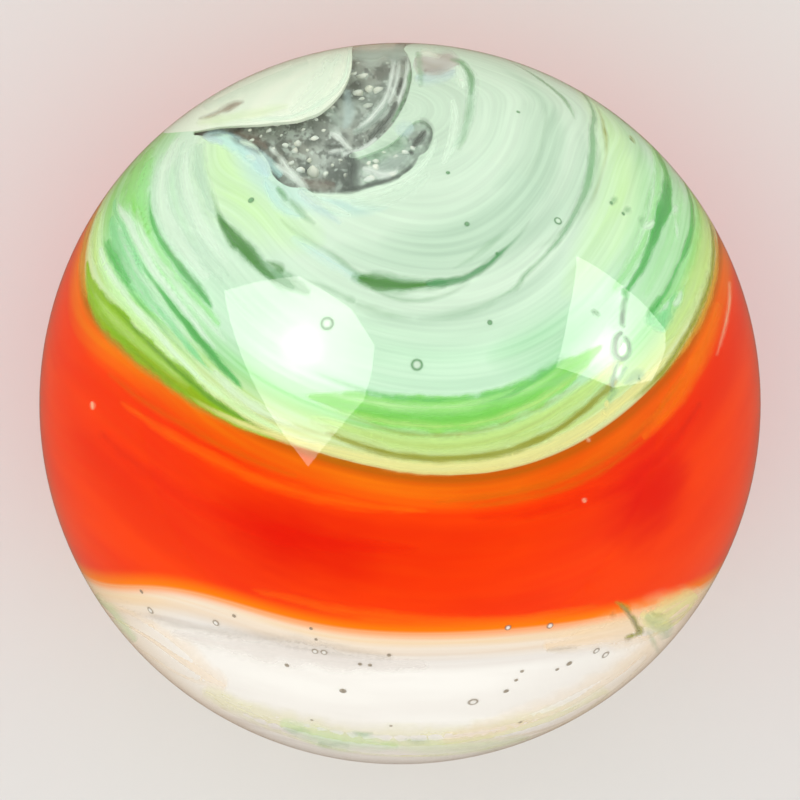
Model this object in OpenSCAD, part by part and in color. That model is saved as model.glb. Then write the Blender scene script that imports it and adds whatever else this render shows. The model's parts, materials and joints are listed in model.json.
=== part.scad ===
// A swirled glass marble, lying as it was seen: +Z is straight up, towards the eye, and +Y is away
// from the viewer. The origin is the centre of the ball. The glass is one piece, and each module
// below is one colour of it, so that together they fill the ball.

/* [Ball] */
// Diameter of the ball
ball_d = 16; // [15:0.1:18]

/* [Orange band] */
// Lean of the swirl's axis from straight up, towards the back
swirl_lean = 54; // [40:1:65]
// Height of the band's upper border above the ball's centre, along the swirl's axis
upper_border = 3.5; // [3:0.1:3.8]
// Lean of the white field's axis from straight up, towards the back
field_lean = 77; // [70:1:85]
// Depth of the band's lower border below the ball's centre, along the white field's axis
lower_border = 3.5; // [3:0.1:5]
// Thickness of the amber layer under the upper border
amber_t = 0.4; // [0.2:0.05:1]

/* [White field] */
// Thickness of the peach layer under the lower border
peach_t = 0.5; // [0.2:0.05:1]

/* [Swirl layers] */
// Thickness of the cream layer on the upper border
cream_t = 0.25; // [0.1:0.05:0.4]
// Thickness of the olive layer on the cream one
olive_t = 0.1; // [0.05:0.05:0.3]
// Thickness of the lime layer on the olive one
lime_t = 0.35; // [0.2:0.05:0.5]
// Thickness of the green layer on the lime one
green_t = 0.6; // [0.4:0.05:0.8]
// Thickness of the mint layer on the green one
mint_t = 1.5; // [1:0.1:1.6]

/* [Dark ribbons] */
// Depth of each ribbon under the skin
ribbon_depth = 0.3; // [0.1:0.05:0.6]
// Width of the widest ribbons
broad_w = 0.26; // [0.1:0.02:0.36]
// Width of the other ribbons
narrow_w = 0.14; // [0.06:0.02:0.24]

/* [Clear window] */
// Depth of the clear glass under the swirl's top
window_depth = 2.4; // [1:0.1:3]
// Diameter of the window's round end
window_d = 3.9; // [3.6:0.1:4.4]
// Distance of the round end's centre from the swirl's axis, to the left
window_left = 1.2; // [1:0.1:1.5]
// Distance of the round end's centre from the swirl's axis, to the front
window_front = 0.4; // [0.2:0.1:0.8]
// Width of the clear channel that runs to the back
channel_w = 1.36; // [1:0.02:1.6]
// Length of that channel behind the swirl's axis
channel_l = 5.6; // [5:0.1:6]
// Distance of the window's left tip from the swirl's axis
tip_left = 4.6; // [4:0.1:5]
// Distance of that tip behind the swirl's axis
tip_back = 1.4; // [1.2:0.1:1.8]

/* [White lobe] */
// Diameter of the lobe's round nose
nose_d = 2.2; // [1.6:0.1:2.4]
// Distance of the nose's centre from the swirl's axis, to the left
nose_left = 2.3; // [2.2:0.1:2.5]
// Distance of the nose's centre behind the swirl's axis
nose_back = 1.4; // [1.2:0.1:1.8]

/* [Hidden] */
$fn = 120;
ball_r = ball_d / 2;
// Spare length of each cutter past the ball's skin
spare = 1;
cream_top = upper_border + cream_t;
olive_top = cream_top + olive_t;
lime_top = olive_top + lime_t;
green_top = lime_top + green_t;
mint_top = green_top + mint_t;
window_floor = ball_r - window_depth;
// Ribbons, each as [angle from the swirl's axis, width, azimuth of its start, sweep]
ribbons = [
    [35.5, narrow_w, 204, 42],
    [35.3, broad_w, 260, 44],
    [34.5, narrow_w, 310, 80],
    [47.3, broad_w, 328, 54],
    [53, narrow_w, 341, 39],
    [44.5, narrow_w, 185, 39],
    [50.5, broad_w, 203, 35],
    [55.5, narrow_w, 185, 40]
];

// The part of the ball that its children take
module glass() {
    intersection() {
        sphere(d = ball_d);
        children();
    }
}

// The part of the ball under the swirl's border that its children take, along the white field's axis
module lower_glass() {
    intersection() {
        sphere(d = ball_d);
        slab(-ball_d, upper_border);
        rotate([swirl_lean - field_lean, 0, 0])
            children();
    }
}

// A flat slab wider than the ball, between two heights along +Z
module slab(low, high) {
    translate([-ball_d, -ball_d, low])
        cube([2 * ball_d, 2 * ball_d, high - low]);
}

// One dark streak that follows a circle round the swirl's axis, sunk into the skin
module ribbon(angle, width, start, sweep) {
    rotate([0, 0, start])
        rotate_extrude(angle = sweep)
            rotate(90 - angle)
                translate([ball_r - ribbon_depth, -width / 2])
                    square([ribbon_depth + spare, width]);
}

module all_ribbons() {
    for (r = ribbons)
        ribbon(r[0], r[1], r[2], r[3]);
}

// Outline of the white lobe: a round nose between two straight sides that run back and to the left
module lobe_outline() {
    translate([-nose_left, nose_back]) {
        circle(d = nose_d);
        polygon([
            [0, 0],
            [nose_d / 2, 0],
            [nose_d / 2, channel_l],
            [-ball_r, channel_l],
            [-ball_r, tip_back],
            [nose_left - tip_left, tip_back - nose_back],
            [-nose_d / 5, -nose_d / 3]
        ]);
    }
}

// Outline of the clear window: a round end, a channel to the back and a tip to the left
module window_outline() {
    difference() {
        translate([-window_left, -window_front]) {
            circle(d = window_d);
            square([channel_w, channel_l]);
            polygon([
                [0, 0],
                [0, tip_back + window_front],
                [window_left - tip_left, tip_back + window_front],
                [-window_d / 3, -window_d / 6]
            ]);
        }
        lobe_outline();
    }
}

// Moves an outline into a deep cut through the swirl's top, down to the window's floor
module deep_cut() {
    translate([0, 0, window_floor])
        linear_extrude(ball_r)
            children();
}

// One layer of the swirl, without the ribbons, the window and the lobe
module swirl_layer(low, high) {
    glass()
        difference() {
            slab(low, high);
            all_ribbons();
            deep_cut()
                window_outline();
            deep_cut()
                lobe_outline();
        }
}

module swirl_layers() {
    color("cornsilk")
        swirl_layer(upper_border, cream_top);
    color("olivedrab")
        swirl_layer(cream_top, olive_top);
    color("yellowgreen")
        swirl_layer(olive_top, lime_top);
    color("mediumseagreen")
        swirl_layer(lime_top, green_top);
    color("palegreen")
        swirl_layer(green_top, mint_top);
    color("honeydew")
        swirl_layer(mint_top, ball_d);
}

module dark_ribbons() {
    color("seagreen")
        glass()
            all_ribbons();
}

module clear_window() {
    color("dimgray")
        glass()
            deep_cut()
                window_outline();
}

module white_lobe() {
    color("ivory")
        glass()
            deep_cut()
                lobe_outline();
}

// The orange band, with its amber layer against the swirl's border
module orange_band() {
    color("orangered")
        difference() {
            lower_glass()
                slab(-lower_border, ball_d);
            slab(upper_border - amber_t, upper_border);
        }
    color("darkorange")
        intersection() {
            lower_glass()
                slab(-lower_border, ball_d);
            slab(upper_border - amber_t, upper_border);
        }
}

// The white field, with its peach layer against the orange band
module white_field() {
    color("peachpuff")
        lower_glass()
            slab(-lower_border - peach_t, -lower_border);
    color("snow")
        lower_glass()
            slab(-ball_d, -lower_border - peach_t);
}

// Everything is built round the swirl's axis as +Z, and then leans back with it
module marble() {
    rotate([-swirl_lean, 0, 0]) {
        swirl_layers();
        dark_ribbons();
        clear_window();
        white_lobe();
        orange_band();
        white_field();
    }
}

marble();
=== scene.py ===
"""A swirled glass marble, built round its packed ball: a clear skin over shells of coloured glass."""

import json
import math

import bpy
from bpy.props import FloatProperty, FloatVectorProperty, IntProperty, PointerProperty
from mathutils import Matrix, Vector

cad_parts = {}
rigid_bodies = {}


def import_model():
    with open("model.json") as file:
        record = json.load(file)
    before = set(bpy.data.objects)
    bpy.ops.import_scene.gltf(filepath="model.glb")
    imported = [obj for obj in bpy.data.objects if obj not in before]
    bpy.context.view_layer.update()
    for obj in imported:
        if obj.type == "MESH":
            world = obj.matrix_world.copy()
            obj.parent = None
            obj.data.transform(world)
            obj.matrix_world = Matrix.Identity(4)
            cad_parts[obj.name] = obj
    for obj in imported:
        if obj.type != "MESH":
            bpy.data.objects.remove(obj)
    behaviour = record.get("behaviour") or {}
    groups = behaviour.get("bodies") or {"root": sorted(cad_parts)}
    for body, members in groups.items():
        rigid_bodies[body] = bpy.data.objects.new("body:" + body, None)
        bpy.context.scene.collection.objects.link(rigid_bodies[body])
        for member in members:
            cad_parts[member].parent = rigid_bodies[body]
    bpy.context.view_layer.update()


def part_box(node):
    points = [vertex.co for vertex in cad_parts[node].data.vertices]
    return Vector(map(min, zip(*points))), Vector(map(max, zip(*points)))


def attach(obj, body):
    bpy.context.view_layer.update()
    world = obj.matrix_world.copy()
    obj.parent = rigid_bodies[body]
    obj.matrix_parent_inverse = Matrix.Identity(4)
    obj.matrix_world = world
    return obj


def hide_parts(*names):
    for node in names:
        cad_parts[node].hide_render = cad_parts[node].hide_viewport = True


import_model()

bl_info = {
    "name": "Swirled Glass Marble",
    "version": (1, 0, 0),
    "blender": (4, 5, 0),
    "location": "3D View > Sidebar > Marble",
    "description": "Builds a clear skin, shells of coloured glass and small inclusions for a marble",
    "category": "Add Mesh",
}

MM = 0.001
NODE = "marble"
BODY = "root"
BALL_LOW, BALL_HIGH = (Vector(corner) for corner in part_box(NODE))
BALL_R = (BALL_HIGH.x - BALL_LOW.x) / 2
GLASS_IOR = 1.5

# The ball in the photograph, in its pixels: the centre, and the radii across and up
SEEN_CENTRE = (400.0, 403.5)
SEEN_RADII = (358.0, 363.5)
# Share of the frame's half width that the ball's radius takes
SEEN_SHARE = 360.75 / 400
# Pixels that the ball's centre lies below the middle of the frame, and the frame's width in pixels
SEEN_DROP = 3.5
FRAME_PIXELS = 800
LENS = 600.0
SENSOR = 36.0
# Distance that cutters reach to, well outside the ball, and the share of it that they start from
CUT_REACH = 14 * MM
CUT_START = 0.3
# Faces along and across each strand of coloured glass, and the depth of its sunken back
STRAND_STEPS = 30
STRAND_ACROSS = 4
STRAND_BACK = 0.05 * MM
# Softest edge of a strand, in the units of its half width, and as a share of that half width
SOFT_DEGREES = 0.7
SOFT_PIXELS = 3.2
SOFT_SHARE = 0.5
# Share of a strand's length that rounds off at each end
STRAND_END = 0.06
# Height of the first strand over the coloured glass, and of each later one over the one before
STRAND_LIFT = 0.004 * MM
STRAND_RISE = 0.0005 * MM
# A turn, in radians, that never brings two copies to the same angle
GOLDEN_TURN = 2.4

# Swells of the orange band's upper border, round the swirl's axis: turn, width and height in degrees
UPPER_SWELLS = [(18, 36, 6.0), (118, 20, 7.0), (-78, 14, 1.2), (-49, 18, -1.9)]
# Swells of its lower border, round the white field's axis
LOWER_SWELLS = [(-39, 22, -5.0)]
# Further swells that only the fine flow lines follow
FLOW_SWELLS = [(-62, 24, -3.0)]

# The clear window's edge, in the photograph's pixels, from its left tip round the hook to the back
WINDOW_SEEN = [
    (194, 129), (200, 132), (213, 131), (222, 130), (229, 131), (235, 135), (241, 139), (248, 141),
    (254, 144), (259, 147), (263, 151), (267, 157), (269, 162), (271, 168), (275, 174), (281, 179),
    (289, 183), (297, 184), (304, 184), (309, 187), (315, 190), (323, 190), (331, 191), (340, 191),
    (349, 191), (357, 189), (365, 186), (374, 183), (383, 181), (391, 179), (397, 176), (403, 171),
    (409, 167), (414, 162), (417, 157), (419, 152), (424, 149), (428, 145), (431, 138), (433, 130),
    (432, 124), (428, 119), (423, 116), (417, 116), (411, 120), (404, 127), (396, 135), (386, 142),
    (375, 147), (364, 151), (353, 154), (349, 152), (352, 149), (362, 146), (372, 140), (381, 132),
    (389, 124), (396, 115), (402, 105), (407, 94), (410, 83), (412, 72), (411, 60), (408, 51),
    (404, 45),
]
# The rest of that edge, on the far side, as angle from the swirl's axis and turn
WINDOW_HIDDEN = [(42, 176), (44, -176), (40, -160), (30, -140)]
# The white lobe's edge, in pixels, and the rest of it on the far side
LOBE_SEEN = [
    (194, 128), (200, 127), (210, 125), (221, 123), (234, 122), (250, 121), (264, 120), (276, 118.5),
    (288, 117.5), (298, 116), (307, 113), (316, 110), (325, 104), (333, 97), (340, 89), (346, 79),
    (350, 69), (352, 58), (352, 46),
]
LOBE_HIDDEN = [(40, -168), (50, -163), (57, -150), (56, -135), (50, -121)]
# The pale curl that lies in the hook, in pixels
CURL_SEEN = [
    (350, 153), (364, 150), (377, 146), (389, 140), (398, 132), (405, 124), (412, 117), (421, 115),
    (430, 120), (434, 130), (431, 140), (426, 148), (419, 155), (413, 164), (403, 173), (391, 180),
    (375, 184), (362, 188), (353, 191), (351, 180), (353, 168), (354, 160),
]


def tint(red, green, blue):
    """A colour given as 0 to 255, as Blender's own linear values."""
    shares = (channel / 255 for channel in (red, green, blue))
    return tuple(s / 12.92 if s <= 0.04045 else ((s + 0.055) / 1.055) ** 2.4 for s in shares)


def colour_property(name, description, red, green, blue):
    return FloatVectorProperty(
        name=name, description=description, subtype="COLOR", size=3, min=0.0, max=1.0,
        default=tint(red, green, blue),
    )


class MarbleSizes(bpy.types.PropertyGroup):
    """Sizes of the marble's glass, in metres, and the angles of its borders."""

    skin: FloatProperty(
        name="Clear skin", description="Depth of the coloured glass under the marble's surface",
        default=0.12 * MM, min=0.05 * MM, max=0.4 * MM, subtype="DISTANCE", unit="LENGTH", precision=5,
    )
    wall: FloatProperty(
        name="Coloured wall", description="Thickness of each shell of coloured glass",
        default=0.16 * MM, min=0.1 * MM, max=1.5 * MM, subtype="DISTANCE", unit="LENGTH", precision=5,
    )
    heart: FloatProperty(
        name="Smoky heart", description="Radius of the dark glass seen through the window",
        default=7.15 * MM, min=4 * MM, max=7.4 * MM, subtype="DISTANCE", unit="LENGTH", precision=5,
    )
    swirl_lean: FloatProperty(
        name="Swirl lean", description="Lean of the swirl's axis from straight up, towards the back",
        default=math.radians(54), min=0.0, max=math.pi / 2, subtype="ANGLE", unit="ROTATION",
    )
    field_lean: FloatProperty(
        name="White field lean", description="Lean of the white field's axis from straight up",
        default=math.radians(77), min=0.0, max=math.pi / 2, subtype="ANGLE", unit="ROTATION",
    )
    upper_border: FloatProperty(
        name="Upper border", description="Angle of the band's upper border from the swirl's axis",
        default=math.radians(60), min=math.radians(40), max=math.radians(80),
        subtype="ANGLE", unit="ROTATION",
    )
    lower_border: FloatProperty(
        name="Lower border", description="Angle of its lower border from the white field's axis",
        default=math.radians(116.3), min=math.radians(90), max=math.radians(140),
        subtype="ANGLE", unit="ROTATION",
    )
    faces_along: IntProperty(
        name="Faces along a side", description="Faces along each of the six sides that make a ball",
        default=56, min=16, max=90,
    )


class MarbleColours(bpy.types.PropertyGroup):
    """Colours of the marble's glass."""

    mint: colour_property("Mint", "Main colour of the swirl", 206, 245, 210)
    milk_mint: colour_property("Milky mint", "Palest glass of the swirl", 218, 241, 217)
    grey_mint: colour_property("Grey mint", "Glass round the swirl's axis", 206, 230, 206)
    sage: colour_property("Sage", "Greyer bands in the pale glass of the swirl", 186, 218, 190)
    ice: colour_property("Ice", "Bluish glass beside the window", 188, 230, 224)
    pale_lime: colour_property("Pale lime", "Yellowish green glass of the swirl", 209, 249, 182)
    spring: colour_property("Spring green", "Mid green glass of the swirl", 150, 226, 136)
    jade: colour_property("Jade", "Bluish green glass on the left of the swirl", 136, 214, 146)
    leaf: colour_property("Leaf green", "Strong green glass near the band", 130, 212, 92)
    sea_green: colour_property("Sea green", "Softer dark green ribbons", 84, 178, 88)
    deep_green: colour_property("Deep green", "Dark green ribbons", 74, 142, 84)
    bottle: colour_property("Bottle green", "Darkest, olive green ribbons", 76, 132, 58)
    moss: colour_property("Moss", "Greyish green lines", 122, 168, 124)
    lime: colour_property("Lime", "Yellow green glass near the band", 194, 228, 136)
    cream: colour_property("Cream", "Pale yellow glass on the band's upper border", 230, 226, 148)
    olive: colour_property("Olive", "Olive glass above the band on the left", 138, 186, 36)
    straw: colour_property("Straw", "Yellow glass between the green arc and the band", 190, 212, 116)
    olive_line: colour_property("Olive line", "Thin dark lines near the band", 148, 150, 52)
    brown: colour_property("Brown", "Brown line under the cream glass", 188, 112, 10)
    amber: colour_property("Amber", "Amber glass in the band's upper edge", 250, 124, 8)
    orange: colour_property("Orange", "Main colour of the band", 255, 66, 0)
    red: colour_property("Red", "Deeper red patches of the band", 226, 14, 0)
    rim_orange: colour_property("Rim orange", "Band's lower edge", 255, 134, 0)
    peach: colour_property("Peach", "Glass just under the band", 246, 214, 170)
    milk: colour_property("Milk", "Main colour of the white field", 250, 247, 240)
    grey_milk: colour_property("Grey milk", "Greyer parts of the white field", 226, 218, 210)
    ivory: colour_property("Ivory", "Main colour of the white lobe", 238, 248, 226)
    taupe: colour_property("Taupe", "Brownish streaks in the white glass", 150, 138, 118)
    grass: colour_property("Grass green", "Most vivid green over the band", 114, 200, 76)
    ochre: colour_property("Ochre", "Yellow brown glass along the band's upper border", 214, 158, 58)
    blue_grey: colour_property("Blue grey", "Bluish grey glass round the window", 190, 216, 212)
    smoke: colour_property("Smoke", "Dark glass over the window's edges", 96, 104, 96)
    dark_smoke: colour_property("Dark smoke", "Darkest patches of the smoky glass", 122, 130, 122)
    # Olive smoke is partly painted light: paler than the glass at the top of the window, to make up for the dim light
    # near the ball's edge.
    olive_smoke: colour_property("Olive smoke", "Smoky glass at the back, made paler as painted light", 216, 214, 192)
    haze: colour_property("Haze", "Smoky glass deep in the window", 182, 192, 180)
    bright_haze: colour_property("Bright haze", "Lightest patches of that glass", 214, 228, 216)
    umber: colour_property("Umber smoke", "Brownish patches of the smoky glass", 138, 126, 112)
    pale_smoke: colour_property("Pale smoke", "Lighter wisps in the smoky glass", 164, 182, 168)
    rose: colour_property("Rose", "Rosy grey patch at the back of the swirl", 196, 190, 184)
    thread: colour_property("Thread", "White threads in the window", 226, 238, 226)
    flake: colour_property("Flake", "Yellowish flakes in the window", 240, 244, 224)


def shade(name):
    """A colour of the marble by its property's name, with full alpha."""
    return (*getattr(bpy.context.scene.marble_colours, name), 1.0)


def sizes():
    return bpy.context.scene.marble_sizes


def wrapped(degrees):
    """An angle in degrees brought to between -180 and 180."""
    return (degrees + 180) % 360 - 180


def swell(turn, swells):
    """How far the swells move a border at a turn, in degrees."""
    return sum(h * math.exp(-((wrapped(turn - c) / w) ** 2)) for c, w, h in swells)


def round_axis(lean, angle, turn):
    """The direction at an angle from a leaning axis, turned from the front towards the right."""
    axis = Vector((0, math.sin(lean), math.cos(lean)))
    front = Vector((0, -math.cos(lean), math.sin(lean)))
    side = math.sin(math.radians(turn)) * Vector((1, 0, 0)) + math.cos(math.radians(turn)) * front
    return math.cos(math.radians(angle)) * axis + math.sin(math.radians(angle)) * side


def seen(x, y):
    """The direction from the ball's centre to what the photograph shows at a pixel."""
    across = (x - SEEN_CENTRE[0]) / SEEN_RADII[0]
    up = (SEEN_CENTRE[1] - y) / SEEN_RADII[1]
    share = min(math.hypot(across, up), 1.0)
    # The camera is near enough for its rays to lean by this much at the ball's edge
    ray_lean = math.asin(BALL_R / camera_distance())
    angle = math.asin(share) - share * ray_lean
    flat = Vector((across, up, 0)).normalized() if share > 0 else Vector((1, 0, 0))
    return math.sin(angle) * flat + Vector((0, 0, math.cos(angle)))


def camera_distance():
    """Distance from the ball's centre at which the ball fills its share of the frame."""
    edge = SENSOR / 2 / LENS * SEEN_SHARE
    return BALL_R * math.sqrt(1 + 1 / edge**2)


def under_skin(x, y, depth):
    """The point at a depth in the glass that the camera sees at a pixel, past the skin's bend."""
    outward = seen(x, y)
    down = Vector((0, 0, -1))
    facing = outward.z
    bent_facing = math.sqrt(1 - (1 - facing**2) / GLASS_IOR**2)
    inward = down / GLASS_IOR + (facing / GLASS_IOR - bent_facing) * outward
    return outward * BALL_R + inward * (depth / bent_facing)


# Modelling


def select_only(*objects):
    for obj in bpy.context.view_layer.objects.selected[:]:
        obj.select_set(False)
    for obj in objects:
        obj.select_set(True)
    bpy.context.view_layer.objects.active = objects[0]


def apply_modifier(obj, kind, **settings):
    select_only(obj)
    modifier = obj.modifiers.new(kind.title(), kind)
    for name, value in settings.items():
        setattr(modifier, name, value)
    bpy.ops.object.modifier_apply(modifier=modifier.name)


def new_ball(name, radius):
    """A ball of even four-sided faces: a finely divided cube drawn out to a sphere."""
    bpy.ops.object.select_all(action="DESELECT")
    bpy.ops.mesh.primitive_cube_add(size=2 * radius)
    ball = bpy.context.object
    ball.name = ball.data.name = name
    bpy.ops.object.mode_set(mode="EDIT")
    bpy.ops.mesh.select_all(action="SELECT")
    bpy.ops.mesh.subdivide(number_cuts=sizes().faces_along - 1)
    bpy.ops.object.mode_set(mode="OBJECT")
    apply_modifier(
        ball, "CAST", cast_type="SPHERE", factor=1.0, size=radius, radius=0.0, use_radius_as_size=False,
    )
    return ball


def new_shell(name, radius, wall):
    """A hollow ball with a wall of even thickness."""
    shell = new_ball(name, radius)
    apply_modifier(shell, "SOLIDIFY", thickness=wall, offset=-1.0)
    return shell


def cut(piece, cutter, operation):
    """Keeps what the cutter leaves or takes of a piece."""
    apply_modifier(piece, "BOOLEAN", object=cutter, operation=operation, solver="MANIFOLD")


def copy_of(piece, name):
    select_only(piece)
    bpy.ops.object.duplicate()
    copy = bpy.context.object
    copy.name = copy.data.name = name
    return copy


def remove(*objects):
    for obj in objects:
        bpy.data.meshes.remove(obj.data)


def border_cutter(lean, border, swells):
    """A cone from the ball's centre along a leaning axis, whose side follows a wavy border."""
    bpy.ops.object.select_all(action="DESELECT")
    bpy.ops.mesh.primitive_cone_add(
        vertices=240, radius1=CUT_REACH, radius2=0, depth=CUT_REACH, end_fill_type="TRIFAN",
    )
    cutter = bpy.context.object
    for vertex in cutter.data.vertices:
        if vertex.co.xy.length < CUT_REACH / 2:
            # The tip goes to the ball's centre, and the middle of the base far out along the axis
            out = 2 * CUT_REACH if vertex.co.z < 0 else 0
            vertex.co = out * round_axis(lean, 0, 0)
        else:
            turn = math.degrees(math.atan2(vertex.co.x, -vertex.co.y))
            angle = border + swell(turn, swells)
            vertex.co = CUT_REACH * round_axis(lean, angle, turn)
    close_up(cutter)
    return cutter


def close_up(piece):
    """Merges doubles and turns every face outwards."""
    select_only(piece)
    bpy.ops.object.mode_set(mode="EDIT")
    bpy.ops.mesh.select_all(action="SELECT")
    bpy.ops.mesh.remove_doubles(threshold=0.0005 * MM)
    bpy.ops.mesh.normals_make_consistent(inside=False)
    bpy.ops.object.mode_set(mode="OBJECT")


def outline_cutter(directions):
    """A funnel from near the ball's centre outwards, with a smooth closed outline."""
    curve = bpy.data.curves.new("outline", "CURVE")
    curve.dimensions = "3D"
    curve.resolution_u = 6
    spline = curve.splines.new("BEZIER")
    spline.bezier_points.add(len(directions) - 1)
    for point, direction in zip(spline.bezier_points, directions):
        point.co = direction * CUT_REACH
        point.handle_left_type = point.handle_right_type = "AUTO"
    spline.use_cyclic_u = True
    cutter = bpy.data.objects.new("outline_cutter", curve)
    bpy.context.collection.objects.link(cutter)
    select_only(cutter)
    bpy.ops.object.convert(target="MESH")
    bpy.ops.object.mode_set(mode="EDIT")
    bpy.ops.mesh.select_all(action="SELECT")
    bpy.ops.mesh.edge_face_add()
    bpy.ops.mesh.extrude_region_move()
    bpy.ops.transform.resize(value=(CUT_START,) * 3, center_override=(0, 0, 0))
    bpy.ops.object.mode_set(mode="OBJECT")
    close_up(cutter)
    return cutter


def finish_piece(piece, material, smooth_to=40):
    """Gives a piece its smooth shading, material, body and slot."""
    piece.data.materials.clear()
    piece.data.materials.append(material)
    select_only(piece)
    bpy.ops.object.shade_smooth_by_angle(angle=math.radians(smooth_to))
    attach(piece, BODY)
    return piece


def joined(name, parts):
    select_only(*parts)
    bpy.ops.object.join()
    whole = bpy.context.object
    whole.name = whole.data.name = name
    return whole


# Shader building


def feed(tree, socket, value):
    """Links a socket to another node's output, or sets its own value."""
    if isinstance(value, bpy.types.NodeSocket):
        tree.links.new(value, socket)
    elif value is not None:
        socket.default_value = value


def add(tree, kind, inputs=(), **settings):
    """Adds a node with its settings, and feeds its inputs in order or by name."""
    node = tree.nodes.new(kind)
    for name, value in settings.items():
        setattr(node, name, value)
    pairs = inputs.items() if isinstance(inputs, dict) else enumerate(inputs)
    for key, value in pairs:
        feed(tree, node.inputs[key], value)
    return node


def calc(tree, operation, *values, clamp=False):
    return add(tree, "ShaderNodeMath", values, operation=operation, use_clamp=clamp).outputs[0]


def eased(tree, value, low, high):
    """A smooth step from 0 to 1 between two values."""
    inputs = (value, low, high, 0.0, 1.0)
    node = add(tree, "ShaderNodeMapRange", inputs, interpolation_type="SMOOTHSTEP")
    return node.outputs[0]


def blended(tree, share, under, over):
    inputs = {0: share, 6: under, 7: over}
    return add(tree, "ShaderNodeMix", inputs, data_type="RGBA").outputs[2]


def ramp(tree, value, stops):
    """A colour ramp with its stops as (place, colour name)."""
    node = add(tree, "ShaderNodeValToRGB", (value,))
    elements = node.color_ramp.elements
    while len(elements) < len(stops):
        elements.new(1.0)
    for element, (place, name) in zip(elements, stops):
        element.position = place
        element.color = shade(name)
    return node.outputs[0]


SOCKETS = {"value": "NodeSocketFloat", "colour": "NodeSocketColor", "vector": "NodeSocketVector"}


def new_group(name, inputs, outputs):
    """A shader node group with named sockets, and its input and output nodes."""
    group = bpy.data.node_groups.new(name, "ShaderNodeTree")
    for label, kind in inputs:
        group.interface.new_socket(name=label, in_out="INPUT", socket_type=SOCKETS[kind])
    for label, kind in outputs:
        group.interface.new_socket(name=label, in_out="OUTPUT", socket_type=SOCKETS[kind])
    return group, group.nodes.new("NodeGroupInput"), group.nodes.new("NodeGroupOutput")


def grouped(tree, group, **values):
    """Places a node group, with its inputs named in lower case and with underscores."""
    node = add(tree, "ShaderNodeGroup", node_tree=bpy.data.node_groups[group])
    for name, value in values.items():
        feed(tree, node.inputs[name.replace("_", " ").capitalize()], value)
    return node


def make_place_group():
    """Where a point lies round a leaning axis: its angle, its turn, and its place across the axis."""
    group, start, end = new_group(
        "place_round_axis",
        [("Place", "vector"), ("Lean", "value")],
        [("Angle", "value"), ("Turn", "value"), ("Across", "vector"), ("Direction", "vector")],
    )
    direction = add(group, "ShaderNodeVectorMath", (start.outputs["Place"],), operation="NORMALIZE")
    lean = add(group, "ShaderNodeCombineXYZ", (start.outputs["Lean"],))
    turned = add(
        group, "ShaderNodeMapping",
        {"Vector": direction.outputs[0], "Rotation": lean.outputs[0]}, vector_type="POINT",
    )
    parts = add(group, "ShaderNodeSeparateXYZ", (turned.outputs[0],)).outputs
    angle = calc(group, "DEGREES", calc(group, "ARCCOSINE", parts["Z"]))
    front = calc(group, "MULTIPLY", parts["Y"], -1.0)
    turn = calc(group, "DEGREES", calc(group, "ARCTAN2", parts["X"], front))
    across = add(group, "ShaderNodeCombineXYZ", (parts["X"], parts["Y"]))
    feed(group, end.inputs["Angle"], angle)
    feed(group, end.inputs["Turn"], turn)
    feed(group, end.inputs["Across"], across.outputs[0])
    feed(group, end.inputs["Direction"], direction.outputs[0])


def make_swell_group():
    """One swell of a border: its height where it is centred, falling away over its width."""
    group, start, end = new_group(
        "border_swell",
        [("Turn", "value"), ("Centre", "value"), ("Width", "value"), ("Height", "value")],
        [("Rise", "value")],
    )
    away = calc(group, "SUBTRACT", start.outputs["Turn"], start.outputs["Centre"])
    away = calc(group, "DIVIDE", calc(group, "WRAP", away, 180.0, -180.0), start.outputs["Width"])
    fall = calc(group, "EXPONENT", calc(group, "MULTIPLY", calc(group, "MULTIPLY", away, away), -1.0))
    feed(group, end.inputs["Rise"], calc(group, "MULTIPLY", fall, start.outputs["Height"]))


def make_grain_group():
    """Fine flow lines, broad bands and soft clouds in drawn glass, each from 0 to 1."""
    group, start, end = new_group(
        "glass_grain",
        [("Across", "vector"), ("Level", "value"), ("Fineness", "value"), ("Clouds", "value")],
        [("Lines", "value"), ("Bands", "value"), ("Cloud", "value"), ("Waver", "value")],
    )
    settings = {"noise_dimensions": "3D", "normalize": True}
    along = calc(group, "MULTIPLY", start.outputs["Level"], 0.1)
    along = add(group, "ShaderNodeCombineXYZ", (0.0, 0.0, along)).outputs[0]
    flow = add(
        group, "ShaderNodeVectorMath", (start.outputs["Across"], along), operation="ADD",
    ).outputs[0]
    stretched = add(group, "ShaderNodeMapping", {"Vector": flow, "Scale": (0.35, 0.35, 3.0)})
    lines = add(
        group, "ShaderNodeTexNoise",
        {"Vector": stretched.outputs[0], "Scale": start.outputs["Fineness"], "Detail": 4.0},
        **settings,
    )
    broad = add(group, "ShaderNodeMapping", {"Vector": flow, "Scale": (0.5, 0.5, 1.1)})
    bands = add(
        group, "ShaderNodeTexNoise",
        {"Vector": broad.outputs[0], "Scale": start.outputs["Fineness"], "Detail": 2.0},
        **settings,
    )
    soft = add(group, "ShaderNodeMapping", {"Vector": flow, "Scale": (1.0, 1.0, 0.8)})
    cloud = add(
        group, "ShaderNodeTexNoise",
        {"Vector": soft.outputs[0], "Scale": start.outputs["Clouds"], "Detail": 3.0}, **settings,
    )
    waver = add(
        group, "ShaderNodeTexNoise",
        {"Vector": soft.outputs[0], "Scale": 9.0, "Detail": 3.0}, **settings,
    )
    feed(group, end.inputs["Lines"], eased(group, lines.outputs[0], 0.3, 0.7))
    feed(group, end.inputs["Bands"], eased(group, bands.outputs[0], 0.35, 0.65))
    feed(group, end.inputs["Cloud"], eased(group, cloud.outputs[0], 0.3, 0.7))
    feed(group, end.inputs["Waver"], waver.outputs[0])


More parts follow.
